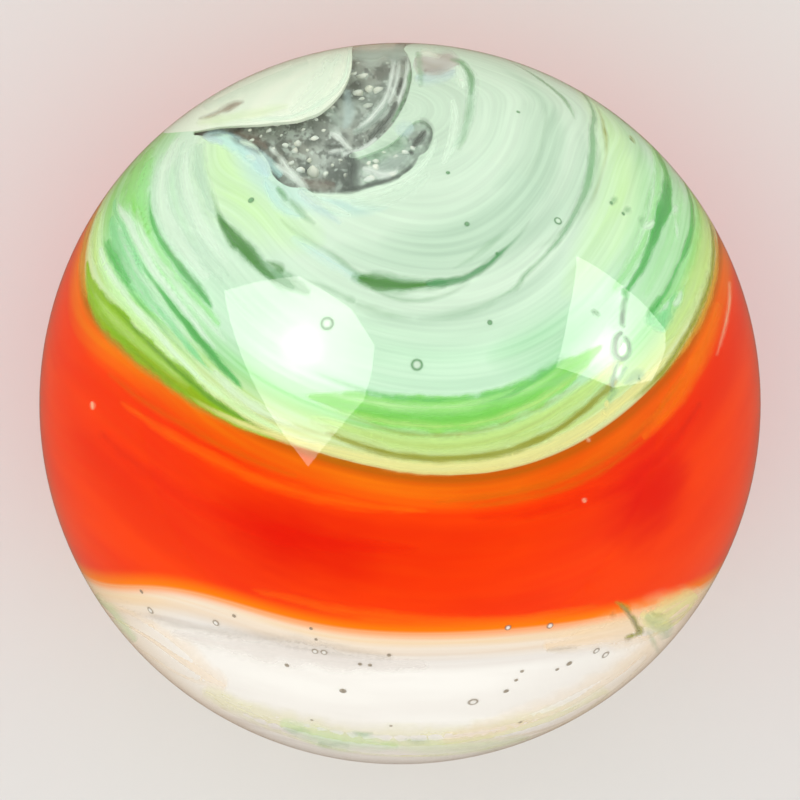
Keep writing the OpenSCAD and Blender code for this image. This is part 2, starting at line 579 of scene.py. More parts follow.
def make_band_group():
    """Lays one broad soft band of glass over a colour, along a bowed line round an axis."""
    group, start, end = new_group(
        "glass_band",
        [
            ("Under", "colour"), ("Over", "colour"), ("Angle", "value"), ("Level", "value"),
            ("Turn", "value"), ("Waver", "value"), ("Follow", "value"), ("Path", "value"),
            ("Rise", "value"), ("Bow", "value"), ("Centre", "value"), ("Reach", "value"),
            ("Width", "value"), ("Strength", "value"),
        ],
        [("Colour", "colour"), ("Mask", "value")],
    )
    given = start.outputs
    away = calc(group, "SUBTRACT", given["Turn"], given["Centre"])
    along = calc(group, "DIVIDE", calc(group, "WRAP", away, 180.0, -180.0), given["Reach"])
    squared = calc(group, "MULTIPLY", along, along)
    path = calc(group, "MULTIPLY_ADD", along, given["Rise"], given["Path"])
    path = calc(group, "MULTIPLY_ADD", squared, given["Bow"], path)
    followed = calc(group, "SUBTRACT", given["Level"], given["Angle"])
    angle = calc(group, "MULTIPLY_ADD", followed, given["Follow"], given["Angle"])
    shaken = calc(group, "SUBTRACT", given["Waver"], 0.5)
    angle = calc(group, "ADD", shaken, angle)
    off = calc(group, "ABSOLUTE", calc(group, "SUBTRACT", angle, path))
    taper = calc(group, "POWER", calc(group, "SUBTRACT", 1.0, squared, clamp=True), 0.5)
    width = calc(group, "MAXIMUM", calc(group, "MULTIPLY", given["Width"], taper), 0.0001)
    mask = calc(group, "SUBTRACT", 1.0, eased(group, calc(group, "DIVIDE", off, width), 0.0, 2.0))
    mask = calc(group, "MULTIPLY", mask, calc(group, "MULTIPLY", taper, given["Strength"]))
    feed(group, end.inputs["Colour"], blended(group, mask, given["Under"], given["Over"]))
    feed(group, end.inputs["Mask"], mask)


def make_spot_group():
    """Lays one soft round spot of glass over a colour."""
    group, start, end = new_group(
        "glass_spot",
        [
            ("Under", "colour"), ("Over", "colour"), ("Direction", "vector"), ("Centre", "vector"),
            ("Waver", "value"), ("Radius", "value"), ("Softness", "value"), ("Ragged", "value"),
            ("Strength", "value"),
        ],
        [("Colour", "colour"), ("Mask", "value")],
    )
    given = start.outputs
    away = add(
        group, "ShaderNodeVectorMath", (given["Direction"], given["Centre"]), operation="SUBTRACT",
    )
    length = add(group, "ShaderNodeVectorMath", (away.outputs[0],), operation="LENGTH")
    edge = calc(group, "DIVIDE", length.outputs["Value"], given["Radius"])
    shaken = calc(group, "SUBTRACT", given["Waver"], 0.5)
    edge = calc(group, "MULTIPLY_ADD", shaken, given["Ragged"], edge)
    low = calc(group, "SUBTRACT", 1.0, given["Softness"])
    high = calc(group, "ADD", 1.0, given["Softness"])
    mask = calc(group, "SUBTRACT", 1.0, eased(group, edge, low, high))
    mask = calc(group, "MULTIPLY", mask, given["Strength"])
    feed(group, end.inputs["Colour"], blended(group, mask, given["Under"], given["Over"]))
    feed(group, end.inputs["Mask"], mask)


def make_strand_group():
    """How a strand of glass covers what is below it, and its colour with fine fibres."""
    group, start, end = new_group(
        "glass_strand",
        [("Own", "colour"), ("Place", "vector"), ("Finish", "vector")],
        [("Colour", "colour"), ("Cover", "value")],
    )
    place = add(group, "ShaderNodeSeparateXYZ", (start.outputs["Place"],)).outputs
    finish = add(group, "ShaderNodeSeparateXYZ", (start.outputs["Finish"],)).outputs
    lumpy = add(
        group, "ShaderNodeMapping", {"Vector": start.outputs["Place"], "Scale": (1.6, 0.8, 7.0)},
    )
    lumps = add(
        group, "ShaderNodeTexNoise", {"Vector": lumpy.outputs[0], "Scale": 1.3, "Detail": 4.0},
    ).outputs[0]
    drawn = add(
        group, "ShaderNodeMapping", {"Vector": start.outputs["Place"], "Scale": (0.5, 2.0, 5.0)},
    )
    fibres = add(
        group, "ShaderNodeTexNoise", {"Vector": drawn.outputs[0], "Scale": 1.0, "Detail": 3.0},
    ).outputs[0]
    fibres = eased(group, fibres, 0.3, 0.7)
    across = calc(group, "ABSOLUTE", place["Y"])
    edge = calc(group, "MULTIPLY_ADD", calc(group, "SUBTRACT", lumps, 0.5), 0.9, across)
    cover = calc(group, "SUBTRACT", 1.0, eased(group, edge, finish["Y"], 1.0))
    sides = calc(group, "SUBTRACT", 1.0, eased(group, across, 0.8, 1.0))
    cover = calc(group, "MULTIPLY", cover, sides)
    cover = calc(group, "MULTIPLY", cover, calc(group, "MULTIPLY_ADD", fibres, 0.2, 0.83), clamp=True)
    cover = calc(group, "MULTIPLY", cover, finish["X"])
    share = calc(group, "MULTIPLY_ADD", fibres, 0.07, 0.96)
    colour = add(
        group, "ShaderNodeVectorMath", {0: start.outputs["Own"], "Scale": share}, operation="SCALE",
    )
    feed(group, end.inputs["Colour"], colour.outputs[0])
    feed(group, end.inputs["Cover"], cover)


def make_groups():
    make_place_group()
    make_swell_group()
    make_grain_group()
    make_band_group()
    make_spot_group()
    make_strand_group()


class Glass:
    """A coloured glass material while its colours are laid over each other."""

    def __init__(self, name, lean, border, swells, fineness=5.0, clouds=2.0):
        self.material = bpy.data.materials.new(name)
        self.material.use_nodes = True
        self.tree = self.material.node_tree
        self.tree.nodes.clear()
        coordinates = add(self.tree, "ShaderNodeTexCoord").outputs["Object"]
        place = grouped(self.tree, "place_round_axis", place=coordinates, lean=lean)
        self.angle = place.outputs["Angle"]
        self.turn = place.outputs["Turn"]
        self.direction = place.outputs["Direction"]
        # Near the axis the glass no longer follows the border's swells
        hold = eased(self.tree, self.angle, 5.0, 40.0)
        rise = calc(self.tree, "MULTIPLY", self.swell(swells), hold)
        self.level = calc(self.tree, "SUBTRACT", self.angle, rise)
        self.past = calc(self.tree, "SUBTRACT", self.level, border)
        flow = calc(self.tree, "SUBTRACT", self.level, self.swell(FLOW_SWELLS))
        grain = grouped(
            self.tree, "glass_grain", across=place.outputs["Across"], level=flow,
            fineness=fineness, clouds=clouds,
        )
        self.lines = grain.outputs["Lines"]
        self.bands = grain.outputs["Bands"]
        self.cloud = grain.outputs["Cloud"]
        self.waver = grain.outputs["Waver"]
        self.colour = None

    def swell(self, swells):
        """How far the swells move a border here, in degrees."""
        rise = 0.0
        for centre, width, height in swells:
            other = grouped(
                self.tree, "border_swell", turn=self.turn, centre=centre, width=width, height=height,
            )
            rise = calc(self.tree, "ADD", rise, other.outputs[0])
        return rise

    def base(self, low, high, stops):
        """Starts with a ramp of colours over the level, between two angles in degrees."""
        share = eased_line(self.tree, self.level, low, high)
        stops = [((place - low) / (high - low), name) for place, name in stops]
        self.colour = ramp(self.tree, share, stops)

    def veil(self, mask, name, strength):
        """Lays a colour over all of the glass by a mask."""
        share = calc(self.tree, "MULTIPLY", mask, strength)
        self.colour = blended(self.tree, share, self.colour, shade(name))

    def vary(self, mask, low, high):
        """Scales the colour from low to high by a mask."""
        share = calc(self.tree, "MULTIPLY_ADD", mask, high - low, low)
        scaled = add(self.tree, "ShaderNodeVectorMath", {0: self.colour, "Scale": share}, operation="SCALE")
        self.colour = scaled.outputs[0]

    def bands_of(self, table):
        for name, path, rise, bow, centre, reach, width, strength, follow in table:
            node = grouped(
                self.tree, "glass_band", under=self.colour, over=shade(name), angle=self.angle,
                level=self.level, turn=self.turn, waver=self.waver, follow=follow, path=path,
                rise=rise, bow=bow, centre=centre, reach=reach, width=width, strength=strength,
            )
            self.colour = node.outputs["Colour"]

    def spots(self, table, depth):
        for name, x, y, half, softness, ragged, strength in table:
            node = grouped(
                self.tree, "glass_spot", under=self.colour, over=shade(name),
                direction=self.direction, centre=under_skin(x, y, depth).normalized(),
                waver=self.waver, radius=photo_pixels(half) / BALL_R, softness=softness,
                ragged=ragged, strength=strength,
            )
            self.colour = node.outputs["Colour"]

    def done(self, roughness=0.5):
        """Under the skin the glass has no gloss of its own."""
        shader = add(
            self.tree, "ShaderNodeBsdfPrincipled",
            {"Base Color": self.colour, "Roughness": roughness, "Specular IOR Level": 0.0},
        )
        add(self.tree, "ShaderNodeOutputMaterial", (shader.outputs[0],))
        return self.material


def eased_line(tree, value, low, high):
    """A straight rise from 0 to 1 between two values."""
    return add(tree, "ShaderNodeMapRange", (value, low, high, 0.0, 1.0)).outputs[0]


# Broad bands of the swirl: colour, angle, rise and bow, turn of the middle and reach to each end,
# half width, strength, and how far the band follows the border
SWIRL_BANDS = [
    ("sage", 27.5, -1.5, -1.0, 36, 44, 4.2, 0.85, 0),
    ("grey_mint", 5, 0, 0, 60, 130, 7.0, 0.9, 0),
    ("sage", 25.2, 0, 1.5, 88, 56, 2.0, 0.9, 0),
    ("sage", 31.0, -0.5, -1.5, 14, 36, 3.0, 0.75, 0),
    ("milk_mint", 37.5, -4.0, -3, 25, 42, 1.5, 0.9, 0),
    ("sage", 40.6, -2, -2, 18, 32, 1.2, 0.6, 0),
    ("pale_lime", 29.5, 0, 0, -70, 46, 4.4, 1.0, 0),
    ("ice", 24.5, -2.5, -0.5, -52, 48, 1.7, 0.7, 0),
    ("milk_mint", 39.0, 0, 0.6, -78, 46, 3.0, 0.8, 0),
    ("leaf", 50, 1, 0, -122, 34, 8.0, 0.95, 0),
    ("spring", 50, 0, 0, -86, 34, 5.0, 0.4, 0),
    ("pale_lime", 37.8, 0, 5, 88, 48, 4.0, 1.0, 0),
    ("spring", 42.6, 0, 4, 92, 42, 2.0, 0.45, 0),
    ("spring", 49.5, 1, 3, 88, 40, 3.2, 0.6, 0),
    ("milk_mint", 29.2, 0, 3, 85, 54, 1.4, 0.8, 0),
    ("milk_mint", 17.0, 2, 3, 85, 54, 3.6, 0.6, 0),
    ("spring", 50, 0, 0, 178, 70, 6.0, 0.7, 0),
    ("jade", 48.6, 0, 0, 36, 18, 3.4, 0.5, 0),
    ("sage", 31.0, -0.6, 0, 66, 34, 1.5, 0.7, 0),
    ("moss", 33.6, -0.6, 0, 70, 30, 0.7, 0.4, 0),
    ("sage", 22.0, 0, 0, 78, 36, 2.2, 0.6, 0),
]

# Streaks of the swirl: colour, strength, softness, and a path of turn round the swirl's axis, angle
# from it and half width, in degrees. A later streak lies over an earlier one.
SWIRL_STREAKS = [
    # Left
    ("leaf", 0.6, 1.0, [
        (-113, 48.6, 0.3), (-109, 48.6, 2), (-103, 48.5, 3), (-95, 47.6, 2.4), (-86, 46, 1.5), (-75, 45.3, 0.5),
    ]),
    ("spring", 0.8, 0.8, [
        (-106, 45.6, 1), (-96, 45.3, 1.6), (-88, 45.2, 1.4), (-75, 45.5, 1), (-60, 45.8, 0.9),
        (-48, 46.9, 0.8), (-41, 48.2, 0.3),
    ]),
    ("milk_mint", 0.8, 0.8, [
        (-88, 46.8, 0.2), (-78, 46.4, 0.4), (-66, 46.3, 0.5), (-56, 46.7, 0.5), (-46, 48.1, 0.4), (-38, 50, 0.1),
    ]),
    ("sea_green", 0.9, 0.5, [
        (-92, 43.5, 0.1), (-82, 43.9, 0.35), (-73, 44, 0.5), (-66, 44, 0.55), (-60, 44.2, 0.6),
        (-54, 44.6, 0.7), (-49, 45.3, 0.6), (-45, 46.3, 0.2),
    ]),
    ("bottle", 0.4, 0.8, [
        (-72, 43.8, 0.1), (-64, 43.8, 0.25), (-57, 44.2, 0.35), (-50, 45, 0.3), (-46, 45.9, 0.1),
    ]),
    ("leaf", 0.7, 0.7, [(-96, 47.9, 0.15), (-90, 47.3, 0.35), (-84, 46.6, 0.3), (-78, 45.7, 0.1)]),
    ("spring", 0.7, 0.8, [
        (-82, 47.4, 0.1), (-70, 46.9, 0.2), (-58, 47.3, 0.25), (-48, 48.7, 0.2), (-41, 50.4, 0.1),
    ]),
    ("milk_mint", 0.9, 0.6, [
        (-97, 51.6, 0.1), (-93, 50.7, 0.35), (-86, 48.7, 0.5), (-78, 47.8, 0.55), (-69, 47.6, 0.5),
        (-58, 48.1, 0.5), (-48, 49.6, 0.45), (-39, 52, 0.2),
    ]),
    ("jade", 0.85, 0.6, [
        (-100, 53.2, 0.3), (-93, 51.7, 0.4), (-88, 50.6, 0.45), (-81, 49.4, 0.45), (-73, 49, 0.4), (-64, 49, 0.3),
    ]),
    ("jade", 0.95, 0.5, [
        (-94, 53, 0.3), (-88, 52.2, 1), (-82, 51.4, 1.5), (-75, 51, 1.6), (-68, 50.9, 1.4),
        (-60, 51.2, 1.1), (-52, 52.1, 0.8), (-44, 53.8, 0.4), (-38, 55.4, 0.1),
    ]),
    ("sea_green", 0.8, 0.9, [(-87, 53.8, 0.3), (-81, 52.9, 0.9), (-76, 52.3, 0.9), (-69, 52.1, 0.3)]),
    ("milk_mint", 0.6, 0.9, [(-88, 51, 0.1), (-80, 50.4, 0.3), (-70, 50.1, 0.4), (-60, 50.4, 0.4), (-50, 51.7, 0.4), (-42, 53.4, 0.1)]),
    ("milk_mint", 0.5, 0.9, [(-84, 52, 0.1), (-74, 51.6, 0.3), (-64, 51.6, 0.3), (-54, 52.4, 0.3), (-46, 53.8, 0.1)]),
    ("sea_green", 0.95, 0.4, [
        (-72, 48.8, 0.1), (-66, 48.9, 0.25), (-60, 49.1, 0.35), (-55, 49.6, 0.5), (-50, 50.3, 0.55),
        (-45, 51.4, 0.65), (-40, 52.8, 0.7), (-36, 54.1, 0.6), (-33, 55.1, 0.4), (-31, 55.9, 0.1),
    ]),
    ("bottle", 0.35, 0.9, [(-58, 49.2, 0.1), (-50, 50.2, 0.3), (-42, 52.2, 0.4), (-35, 54.4, 0.2)]),
    ("sea_green", 0.75, 0.6, [
        (-90, 55, 0.1), (-86, 54.5, 0.35), (-80, 53.5, 0.5), (-74, 53, 0.4), (-66, 52.9, 0.3),
        (-58, 53.1, 0.25), (-50, 53.9, 0.2), (-42, 55.3, 0.1),
    ]),
    ("milk_mint", 0.6, 0.8, [
        (-40, 54.6, 0.1), (-36, 55.6, 0.5), (-30, 57.3, 0.6), (-24, 58.6, 0.5), (-18, 59.6, 0.1),
    ]),
    ("pale_lime", 0.8, 0.8, [
        (-100, 56.2, 0.4), (-90, 56.3, 0.9), (-80, 55.7, 1), (-70, 54.9, 0.8), (-60, 54.7, 0.8),
        (-50, 55.4, 0.8), (-40, 57.1, 0.7), (-30, 59, 0.5), (-20, 60.8, 0.2),
    ]),
    ("milk_mint", 0.8, 0.7, [
        (-88, 56.1, 0.3), (-76, 54.7, 0.45), (-64, 54.1, 0.4), (-54, 54.6, 0.4), (-44, 56.2, 0.3), (-34, 58.1, 0.1),
    ]),
    ("spring", 0.5, 0.8, [(-70, 55.9, 0.1), (-60, 55.6, 0.2), (-50, 56.4, 0.2), (-42, 57.8, 0.1)]),
    ("lime", 0.8, 0.8, [(-102, 58.2, 0.8), (-92, 57.7, 0.9), (-84, 57.3, 0.4)]),
    ("moss", 0.35, 0.8, [(-99, 57.4, 0.1), (-92, 57.9, 0.25), (-85, 57.6, 0.1)]),
    ("olive", 1.0, 0.35, [
        (-89, 59.8, 0.3), (-84, 59.8, 0.9), (-78, 59.7, 1.5), (-70, 59, 2.2), (-62, 58.2, 2.2),
        (-54, 58.1, 2.1), (-46, 58.5, 1.9), (-38, 59.5, 1.4), (-30, 60.8, 0.8), (-21, 62, 0.2),
    ]),
    ("lime", 0.5, 0.9, [(-78, 59.5, 0.2), (-68, 58.3, 0.45), (-60, 57.8, 0.5), (-50, 58, 0.4), (-42, 58.9, 0.2)]),
    ("bottle", 0.35, 0.8, [(-72, 60, 0.1), (-60, 59.5, 0.3), (-48, 59.6, 0.3), (-38, 60.7, 0.1)]),
    ("olive_line", 0.75, 0.8, [
        (-82, 61.1, 0.2), (-70, 61.2, 0.4), (-60, 60.6, 0.5), (-48, 60.4, 0.4), (-38, 61.2, 0.3), (-25, 62.1, 0.1),
    ]),
    ("bottle", 0.65, 0.6, [
        (-79, 58.5, 0.1), (-70, 57, 0.2), (-62, 56.6, 0.3), (-54, 56.7, 0.3), (-46, 57.5, 0.35),
        (-38, 58.8, 0.35), (-30, 60.2, 0.3), (-21, 61.4, 0.1),
    ]),
    ("ochre", 0.85, 0.9, [(-114, 60, 0.6), (-104, 60.7, 1.3), (-96, 61, 1.1), (-88, 61, 0.8), (-79, 61.3, 0.2)]),
    ("milk_mint", 0.7, 0.8, [(-108, 40, 0.4), (-96, 40.6, 1.2), (-80, 41.3, 1.2), (-64, 41.6, 1), (-50, 42.6, 0.5)]),
    ("jade", 0.3, 0.9, [(-96, 38.6, 0.2), (-84, 38.9, 0.5), (-70, 39.3, 0.4), (-58, 40, 0.1)]),
    ("milk_mint", 0.7, 0.8, [(-98, 36.2, 0.3), (-84, 36.3, 0.7), (-70, 36.8, 0.8), (-58, 37.8, 0.5), (-48, 39, 0.1)]),
    ("sage", 0.6, 0.9, [(-104, 37.8, 0.3), (-90, 37.7, 0.5), (-70, 38.2, 0.5), (-50, 40, 0.4), (-40, 41.5, 0.1)]),
    ("sage", 0.6, 0.9, [(-95, 40, 0.3), (-80, 39.9, 0.4), (-60, 40.5, 0.5), (-45, 42, 0.3), (-36, 44, 0.1)]),
    ("sage", 0.5, 0.9, [(-104, 42.3, 0.3), (-92, 42.4, 0.5), (-76, 42.8, 0.3), (-62, 43, 0.2), (-48, 44.4, 0.1)]),
    ("sage", 0.5, 0.9, [(-100, 35.6, 0.3), (-85, 35.2, 0.3), (-70, 35.4, 0.3), (-58, 36.4, 0.3), (-46, 38.6, 0.1)]),
    # The broken dark streak
    ("sage", 0.8, 0.9, [(-98, 33.6, 0.3), (-88, 33.3, 0.7), (-80, 33.3, 0.7), (-72, 33.4, 0.5), (-64, 34, 0.2)]),
    ("bottle", 0.7, 0.6, [(-73, 32.9, 0.1), (-67, 33.4, 0.2), (-62, 34.1, 0.3), (-56, 34.8, 0.3)]),
    ("moss", 0.55, 0.5, [(-36, 36.8, 0.3), (-32, 37, 1), (-28.5, 37.6, 1), (-25.5, 38, 0.7), (-23, 38.2, 0.2)]),
    ("moss", 0.8, 0.6, [
        (-66, 33.9, 0.1), (-60, 34.4, 0.6), (-55, 34.9, 0.9), (-51, 35.3, 1.2), (-47, 35.6, 1.2),
        (-43, 36.1, 1.2), (-39, 36.8, 1.1), (-35, 37.3, 1), (-31, 37.8, 0.9), (-27, 38.3, 0.3),
    ]),
    ("bottle", 0.85, 0.45, [
        (-63.5, 34.1, 0.1), (-59, 34.6, 0.5), (-55, 34.9, 0.75), (-51, 35.4, 1.05), (-47.5, 35.5, 0.95),
        (-44, 36, 0.95), (-41, 36.6, 0.8), (-38, 37.2, 0.6), (-35, 37.7, 0.4), (-32.5, 38.2, 0.1),
    ]),
    ("bottle", 0.8, 0.6, [(-39, 35.7, 0.1), (-36, 35.7, 0.4), (-33.8, 35.9, 0.55), (-32.3, 36.4, 0.15)]),
    ("moss", 0.7, 0.6, [(-41, 37, 0.1), (-37, 37.6, 0.25), (-33.5, 38.4, 0.2), (-30, 39.1, 0.05)]),
    ("moss", 0.6, 0.6, [
        (-27, 36.7, 0.1), (-22, 36.6, 0.25), (-18, 37.1, 0.3), (-14.5, 37.7, 0.3), (-12.6, 38.1, 0.45), (-11.3, 38.4, 0.2),
    ]),
    ("moss", 0.4, 0.9, [(-12, 38.4, 0.2), (-8, 39.2, 0.5), (-3, 40, 0.4), (3, 40.6, 0.1)]),
    ("moss", 0.35, 0.7, [(-31, 37.6, 0.1), (-26, 38.4, 0.2), (-21, 39.1, 0.1)]),
    # Wisps below the window
    ("ice", 0.6, 0.9, [(-62, 25, 0.2), (-50, 26.3, 0.7), (-42, 26.8, 0.6), (-35, 26.7, 0.1)]),
    ("moss", 0.5, 0.8, [(-58, 24.3, 0.1), (-52, 24.6, 0.25), (-47, 25.3, 0.3), (-40, 25.6, 0.35), (-35.5, 26, 0.1)]),
    ("moss", 0.35, 0.9, [(-47, 22.3, 0.1), (-40, 22.7, 0.3), (-30, 23.8, 0.3), (-23, 24.3, 0.1)]),
    ("moss", 0.3, 0.9, [(-21, 23.5, 0.1), (-15, 22.8, 0.2), (-10, 22.5, 0.1)]),
    ("ice", 0.5, 0.9, [(-36, 30.4, 0.2), (-26, 31.5, 0.6), (-18, 33, 0.6), (-10, 34.8, 0.3)]),
    ("moss", 0.75, 0.7, [
        (-44, 28.4, 0.1), (-34, 29.6, 0.2), (-28, 30.3, 0.25), (-24, 30.8, 0.2), (-20, 31.4, 0.3),
        (-15, 32.9, 0.3), (-11, 34, 0.3), (-8.5, 34.6, 0.2),
    ]),
    # Middle
    ("moss", 0.75, 0.6, [
        (-8, 35.9, 0.1), (-4, 36.8, 0.25), (0, 37.5, 0.28), (5, 37.8, 0.25), (10, 37.5, 0.22), (15, 36.7, 0.2), (19.5, 35.7, 0.08),
    ]),
    ("moss", 0.8, 0.8, [(-14, 34.3, 0.2), (-10, 34.5, 0.9), (-5, 34.8, 1.3), (1, 35.1, 1.1), (7, 35.2, 0.8), (13, 35.2, 0.4)]),
    ("bottle", 0.95, 0.5, [
        (-12, 34.3, 0.1), (-10.5, 34.5, 0.6), (-8, 34.7, 0.95), (-5, 34.9, 1), (-2, 35, 0.8),
        (1, 35.2, 0.6), (4, 35.2, 0.5), (6.5, 35.2, 0.4), (8.5, 35.2, 0.1),
    ]),
    ("deep_green", 0.9, 0.45, [
        (6.8, 35.2, 0.35), (9, 35.2, 0.6), (13, 35.2, 0.65), (17, 35.1, 0.6), (20, 34.7, 0.45), (24, 34, 0.5),
        (28, 33.1, 0.42), (32, 32.3, 0.28), (38, 31.2, 0.15), (47, 29.5, 0.05),
    ]),
    ("moss", 0.7, 0.7, [(15, 33.2, 0.05), (20, 32.3, 0.2), (26, 31.1, 0.28), (31, 30.3, 0.25), (38, 29.3, 0.05)]),
    ("moss", 0.35, 0.9, [(4, 40.8, 0.1), (14, 40.5, 0.35), (22, 39.8, 0.35), (30, 38.7, 0.1)]),
    ("leaf", 0.95, 0.35, [
        (-19, 54.2, 0.2), (-13, 54.2, 1.2), (-8, 54.4, 2), (0, 55.2, 2.6), (8, 56, 2.7), (16, 56.1, 2.7),
        (24, 55.4, 2.6), (32, 54.2, 2.2), (38, 53.2, 1.3), (45, 52.3, 0.3),
    ]),
    ("grass", 0.8, 0.8, [(-9, 55.5, 0.3), (0, 56.6, 1), (8, 57.3, 1.2), (16, 57.3, 1.1), (22, 56.6, 0.7), (31, 55, 0.2)]),
    ("pale_lime", 0.6, 0.9, [(-14, 53.2, 0.1), (-6, 53.9, 0.3), (2, 54.6, 0.4), (10, 54.9, 0.4), (18, 54.8, 0.3), (26, 54.2, 0.3), (34, 52.8, 0.1)]),
    ("lime", 0.7, 0.9, [(-16, 55.2, 0.1), (-8, 56.3, 0.3), (0, 57.1, 0.4), (8, 57.9, 0.4), (16, 57.9, 0.4), (24, 57.1, 0.4), (32, 55.7, 0.3), (40, 54.2, 0.1)]),
    ("straw", 0.7, 1.0, [
        (-18, 57.8, 0.2), (-10, 58.9, 0.8), (0, 60.6, 1.5), (8, 61.3, 1.7), (16, 61.3, 1.7), (24, 60.4, 1.6),
        (32, 58.9, 1.4), (40, 57.4, 1), (48, 56, 0.2),
    ]),
    ("sea_green", 0.6, 0.7, [
        (-18, 50.2, 0.15), (-8, 52, 0.3), (-2, 52.9, 0.35), (4, 53.4, 0.35), (10, 53.7, 0.3), (18, 53.7, 0.3),
        (24, 53.2, 0.3), (30, 52.2, 0.35), (36, 50.9, 0.1),
    ]),
    ("sea_green", 0.7, 0.7, [(12, 55, 0.05), (18, 54.9, 0.25), (23, 54.3, 0.35), (28, 53.3, 0.35), (32, 52.4, 0.3), (37, 51.2, 0.1)]),
    ("olive_line", 0.8, 0.7, [
        (-13, 56.1, 0.05), (-6, 57.2, 0.2), (0, 58.5, 0.25), (6, 59.1, 0.28), (12, 59.3, 0.28), (18, 58.9, 0.25),
        (24, 58.1, 0.2), (30, 57.2, 0.2), (37, 55.9, 0.05),
    ]),
    ("lime", 0.9, 0.6, [
        (-17, 57, 0.2), (-8, 58.4, 0.6), (0, 60, 0.8), (8, 60.6, 0.9), (16, 60.6, 0.9), (24, 59.7, 0.9),
        (32, 58.3, 0.8), (40, 56.8, 0.5), (47, 55.4, 0.1),
    ]),
    ("olive_line", 0.5, 0.7, [(-11, 57.5, 0.05), (-2, 59.8, 0.2), (5, 60.8, 0.25), (12, 61.1, 0.25), (20, 60.7, 0.25), (28, 59.3, 0.2), (36, 57.4, 0.1)]),
    ("cream", 0.95, 0.5, [
        (-42, 60.2, 0.1), (-30, 61, 0.4), (-20, 61.5, 0.5), (-10, 62.2, 0.7), (0, 63.6, 0.9), (10, 64.5, 0.95),
        (20, 64.6, 0.9), (30, 63.7, 0.9), (40, 62.3, 0.8), (50, 60.9, 0.6), (59, 60, 0.1),
    ]),
    ("olive_line", 0.4, 0.8, [(-36, 58.2, 0.1), (-26, 59, 0.25), (-18, 59.3, 0.3), (-11, 59.8, 0.2)]),
    ("olive_line", 0.95, 0.5, [
        (-14, 59.3, 0.1), (-12, 59.6, 0.35), (-8, 60.5, 0.45), (-2, 61.8, 0.5), (4, 62.7, 0.55), (10, 63.1, 0.6),
        (16, 63.2, 0.6), (22, 62.9, 0.55), (28, 62, 0.5), (34, 60.7, 0.55), (40, 59.2, 0.6), (43, 58.6, 0.5), (45, 58.3, 0.1),
    ]),
    ("ochre", 0.3, 0.8, [(-4, 64.5, 0.1), (6, 65.1, 0.25), (16, 65.3, 0.25), (26, 64.9, 0.2), (36, 63.6, 0.1)]),
    # Right
    ("moss", 0.75, 0.5, [
        (23, 39.5, 0.05), (28, 39, 0.2), (31, 38.4, 0.3), (35, 37, 0.3), (40, 36.2, 0.28), (46, 35.2, 0.35),
        (52, 34.4, 0.4), (60, 33.3, 0.42), (70, 32.5, 0.5), (80, 31.9, 0.6), (90, 31.9, 0.6), (100, 32.5, 0.55),
        (107, 33.7, 0.55), (113, 35.5, 0.5), (120, 37.7, 0.45), (127, 40.2, 0.4), (134, 43.5, 0.3), (143, 47.5, 0.1),
    ]),
    ("sea_green", 0.3, 0.9, [(66, 32.8, 0.1), (76, 32.2, 0.35), (88, 32, 0.4), (98, 32.5, 0.3), (106, 33.7, 0.1)]),
    ("olive_line", 0.7, 0.6, [
        (65, 34.5, 0.05), (74, 34, 0.15), (84, 34, 0.15), (93, 34.6, 0.2), (100, 35.2, 0.3), (107, 36.1, 0.35),
        (113, 37.3, 0.3), (118, 38.6, 0.2), (126, 41.2, 0.1),
    ]),
    ("sage", 0.85, 0.8, [
        (34, 12.3, 0.1), (52, 11.6, 0.35), (70, 10.9, 0.35), (87, 11, 0.4), (107, 11.7, 0.45), (120, 13.2, 0.5),
        (129, 14.7, 0.6), (140, 17.4, 0.7), (151, 20.7, 0.3),
    ]),
    ("moss", 0.6, 0.7, [(123, 13.7, 0.05), (131, 15, 0.3), (138, 16.9, 0.45), (147, 19.6, 0.2)]),
    ("moss", 0.3, 0.7, [(58, 23.7, 0.05), (75, 23.2, 0.2), (90, 23.2, 0.2), (102, 24.3, 0.25), (113, 25.5, 0.1)]),
    ("spring", 0.7, 0.9, [(53, 46.3, 0.3), (66, 44.9, 0.7), (80, 44.2, 0.9), (92, 45, 0.9), (104, 47.3, 0.8), (116, 50.5, 0.5)]),
    ("milk_mint", 0.6, 0.7, [(62, 44.6, 0.1), (72, 44, 0.3), (82, 43.7, 0.3), (92, 44.3, 0.3), (102, 46, 0.1)]),
    ("sea_green", 0.95, 0.4, [
        (55, 48, 0.1), (58, 47.5, 0.45), (63, 47, 0.6), (67, 46.7, 0.7), (73, 46.2, 0.75), (79, 46, 0.95),
        (85, 46.3, 1.25), (90, 46.9, 1.35), (95, 47.6, 1.15), (100, 48.5, 0.9), (105, 49.4, 0.8), (110, 50.2, 0.8),
        (115, 51.5, 0.6), (121, 53.5, 0.4), (129, 56.4, 0.1),
    ]),
    ("deep_green", 0.4, 0.9, [(70, 46, 0.1), (80, 46, 0.5), (88, 46.6, 0.8), (95, 47.4, 0.6), (102, 48.8, 0.4), (109, 50.1, 0.1)]),
    ("spring", 0.5, 0.7, [(98, 48, 0.1), (103, 48.7, 0.35), (108, 49.6, 0.3), (113, 50.6, 0.1)]),
    ("spring", 0.35, 0.9, [(60, 50.4, 0.3), (70, 49.2, 0.5), (80, 49, 0.6), (90, 50, 0.6), (100, 51.8, 0.5), (108, 53.6, 0.2)]),
    ("lime", 0.7, 0.9, [(58, 58, 0.5), (70, 56.8, 1.7), (80, 56.6, 2), (90, 57.1, 2), (100, 58.2, 1.8), (110, 59.8, 0.8)]),
    ("leaf", 0.45, 0.9, [(74, 54, 0.2), (84, 54.4, 0.7), (94, 55.6, 0.8), (104, 57.6, 0.6), (112, 59.6, 0.2)]),
    ("sea_green", 0.9, 0.45, [
        (56, 53.6, 0.1), (60, 53.1, 0.35), (66, 52.6, 0.35), (72, 52.2, 0.35), (76, 52.2, 0.3), (80, 52.5, 0.5),
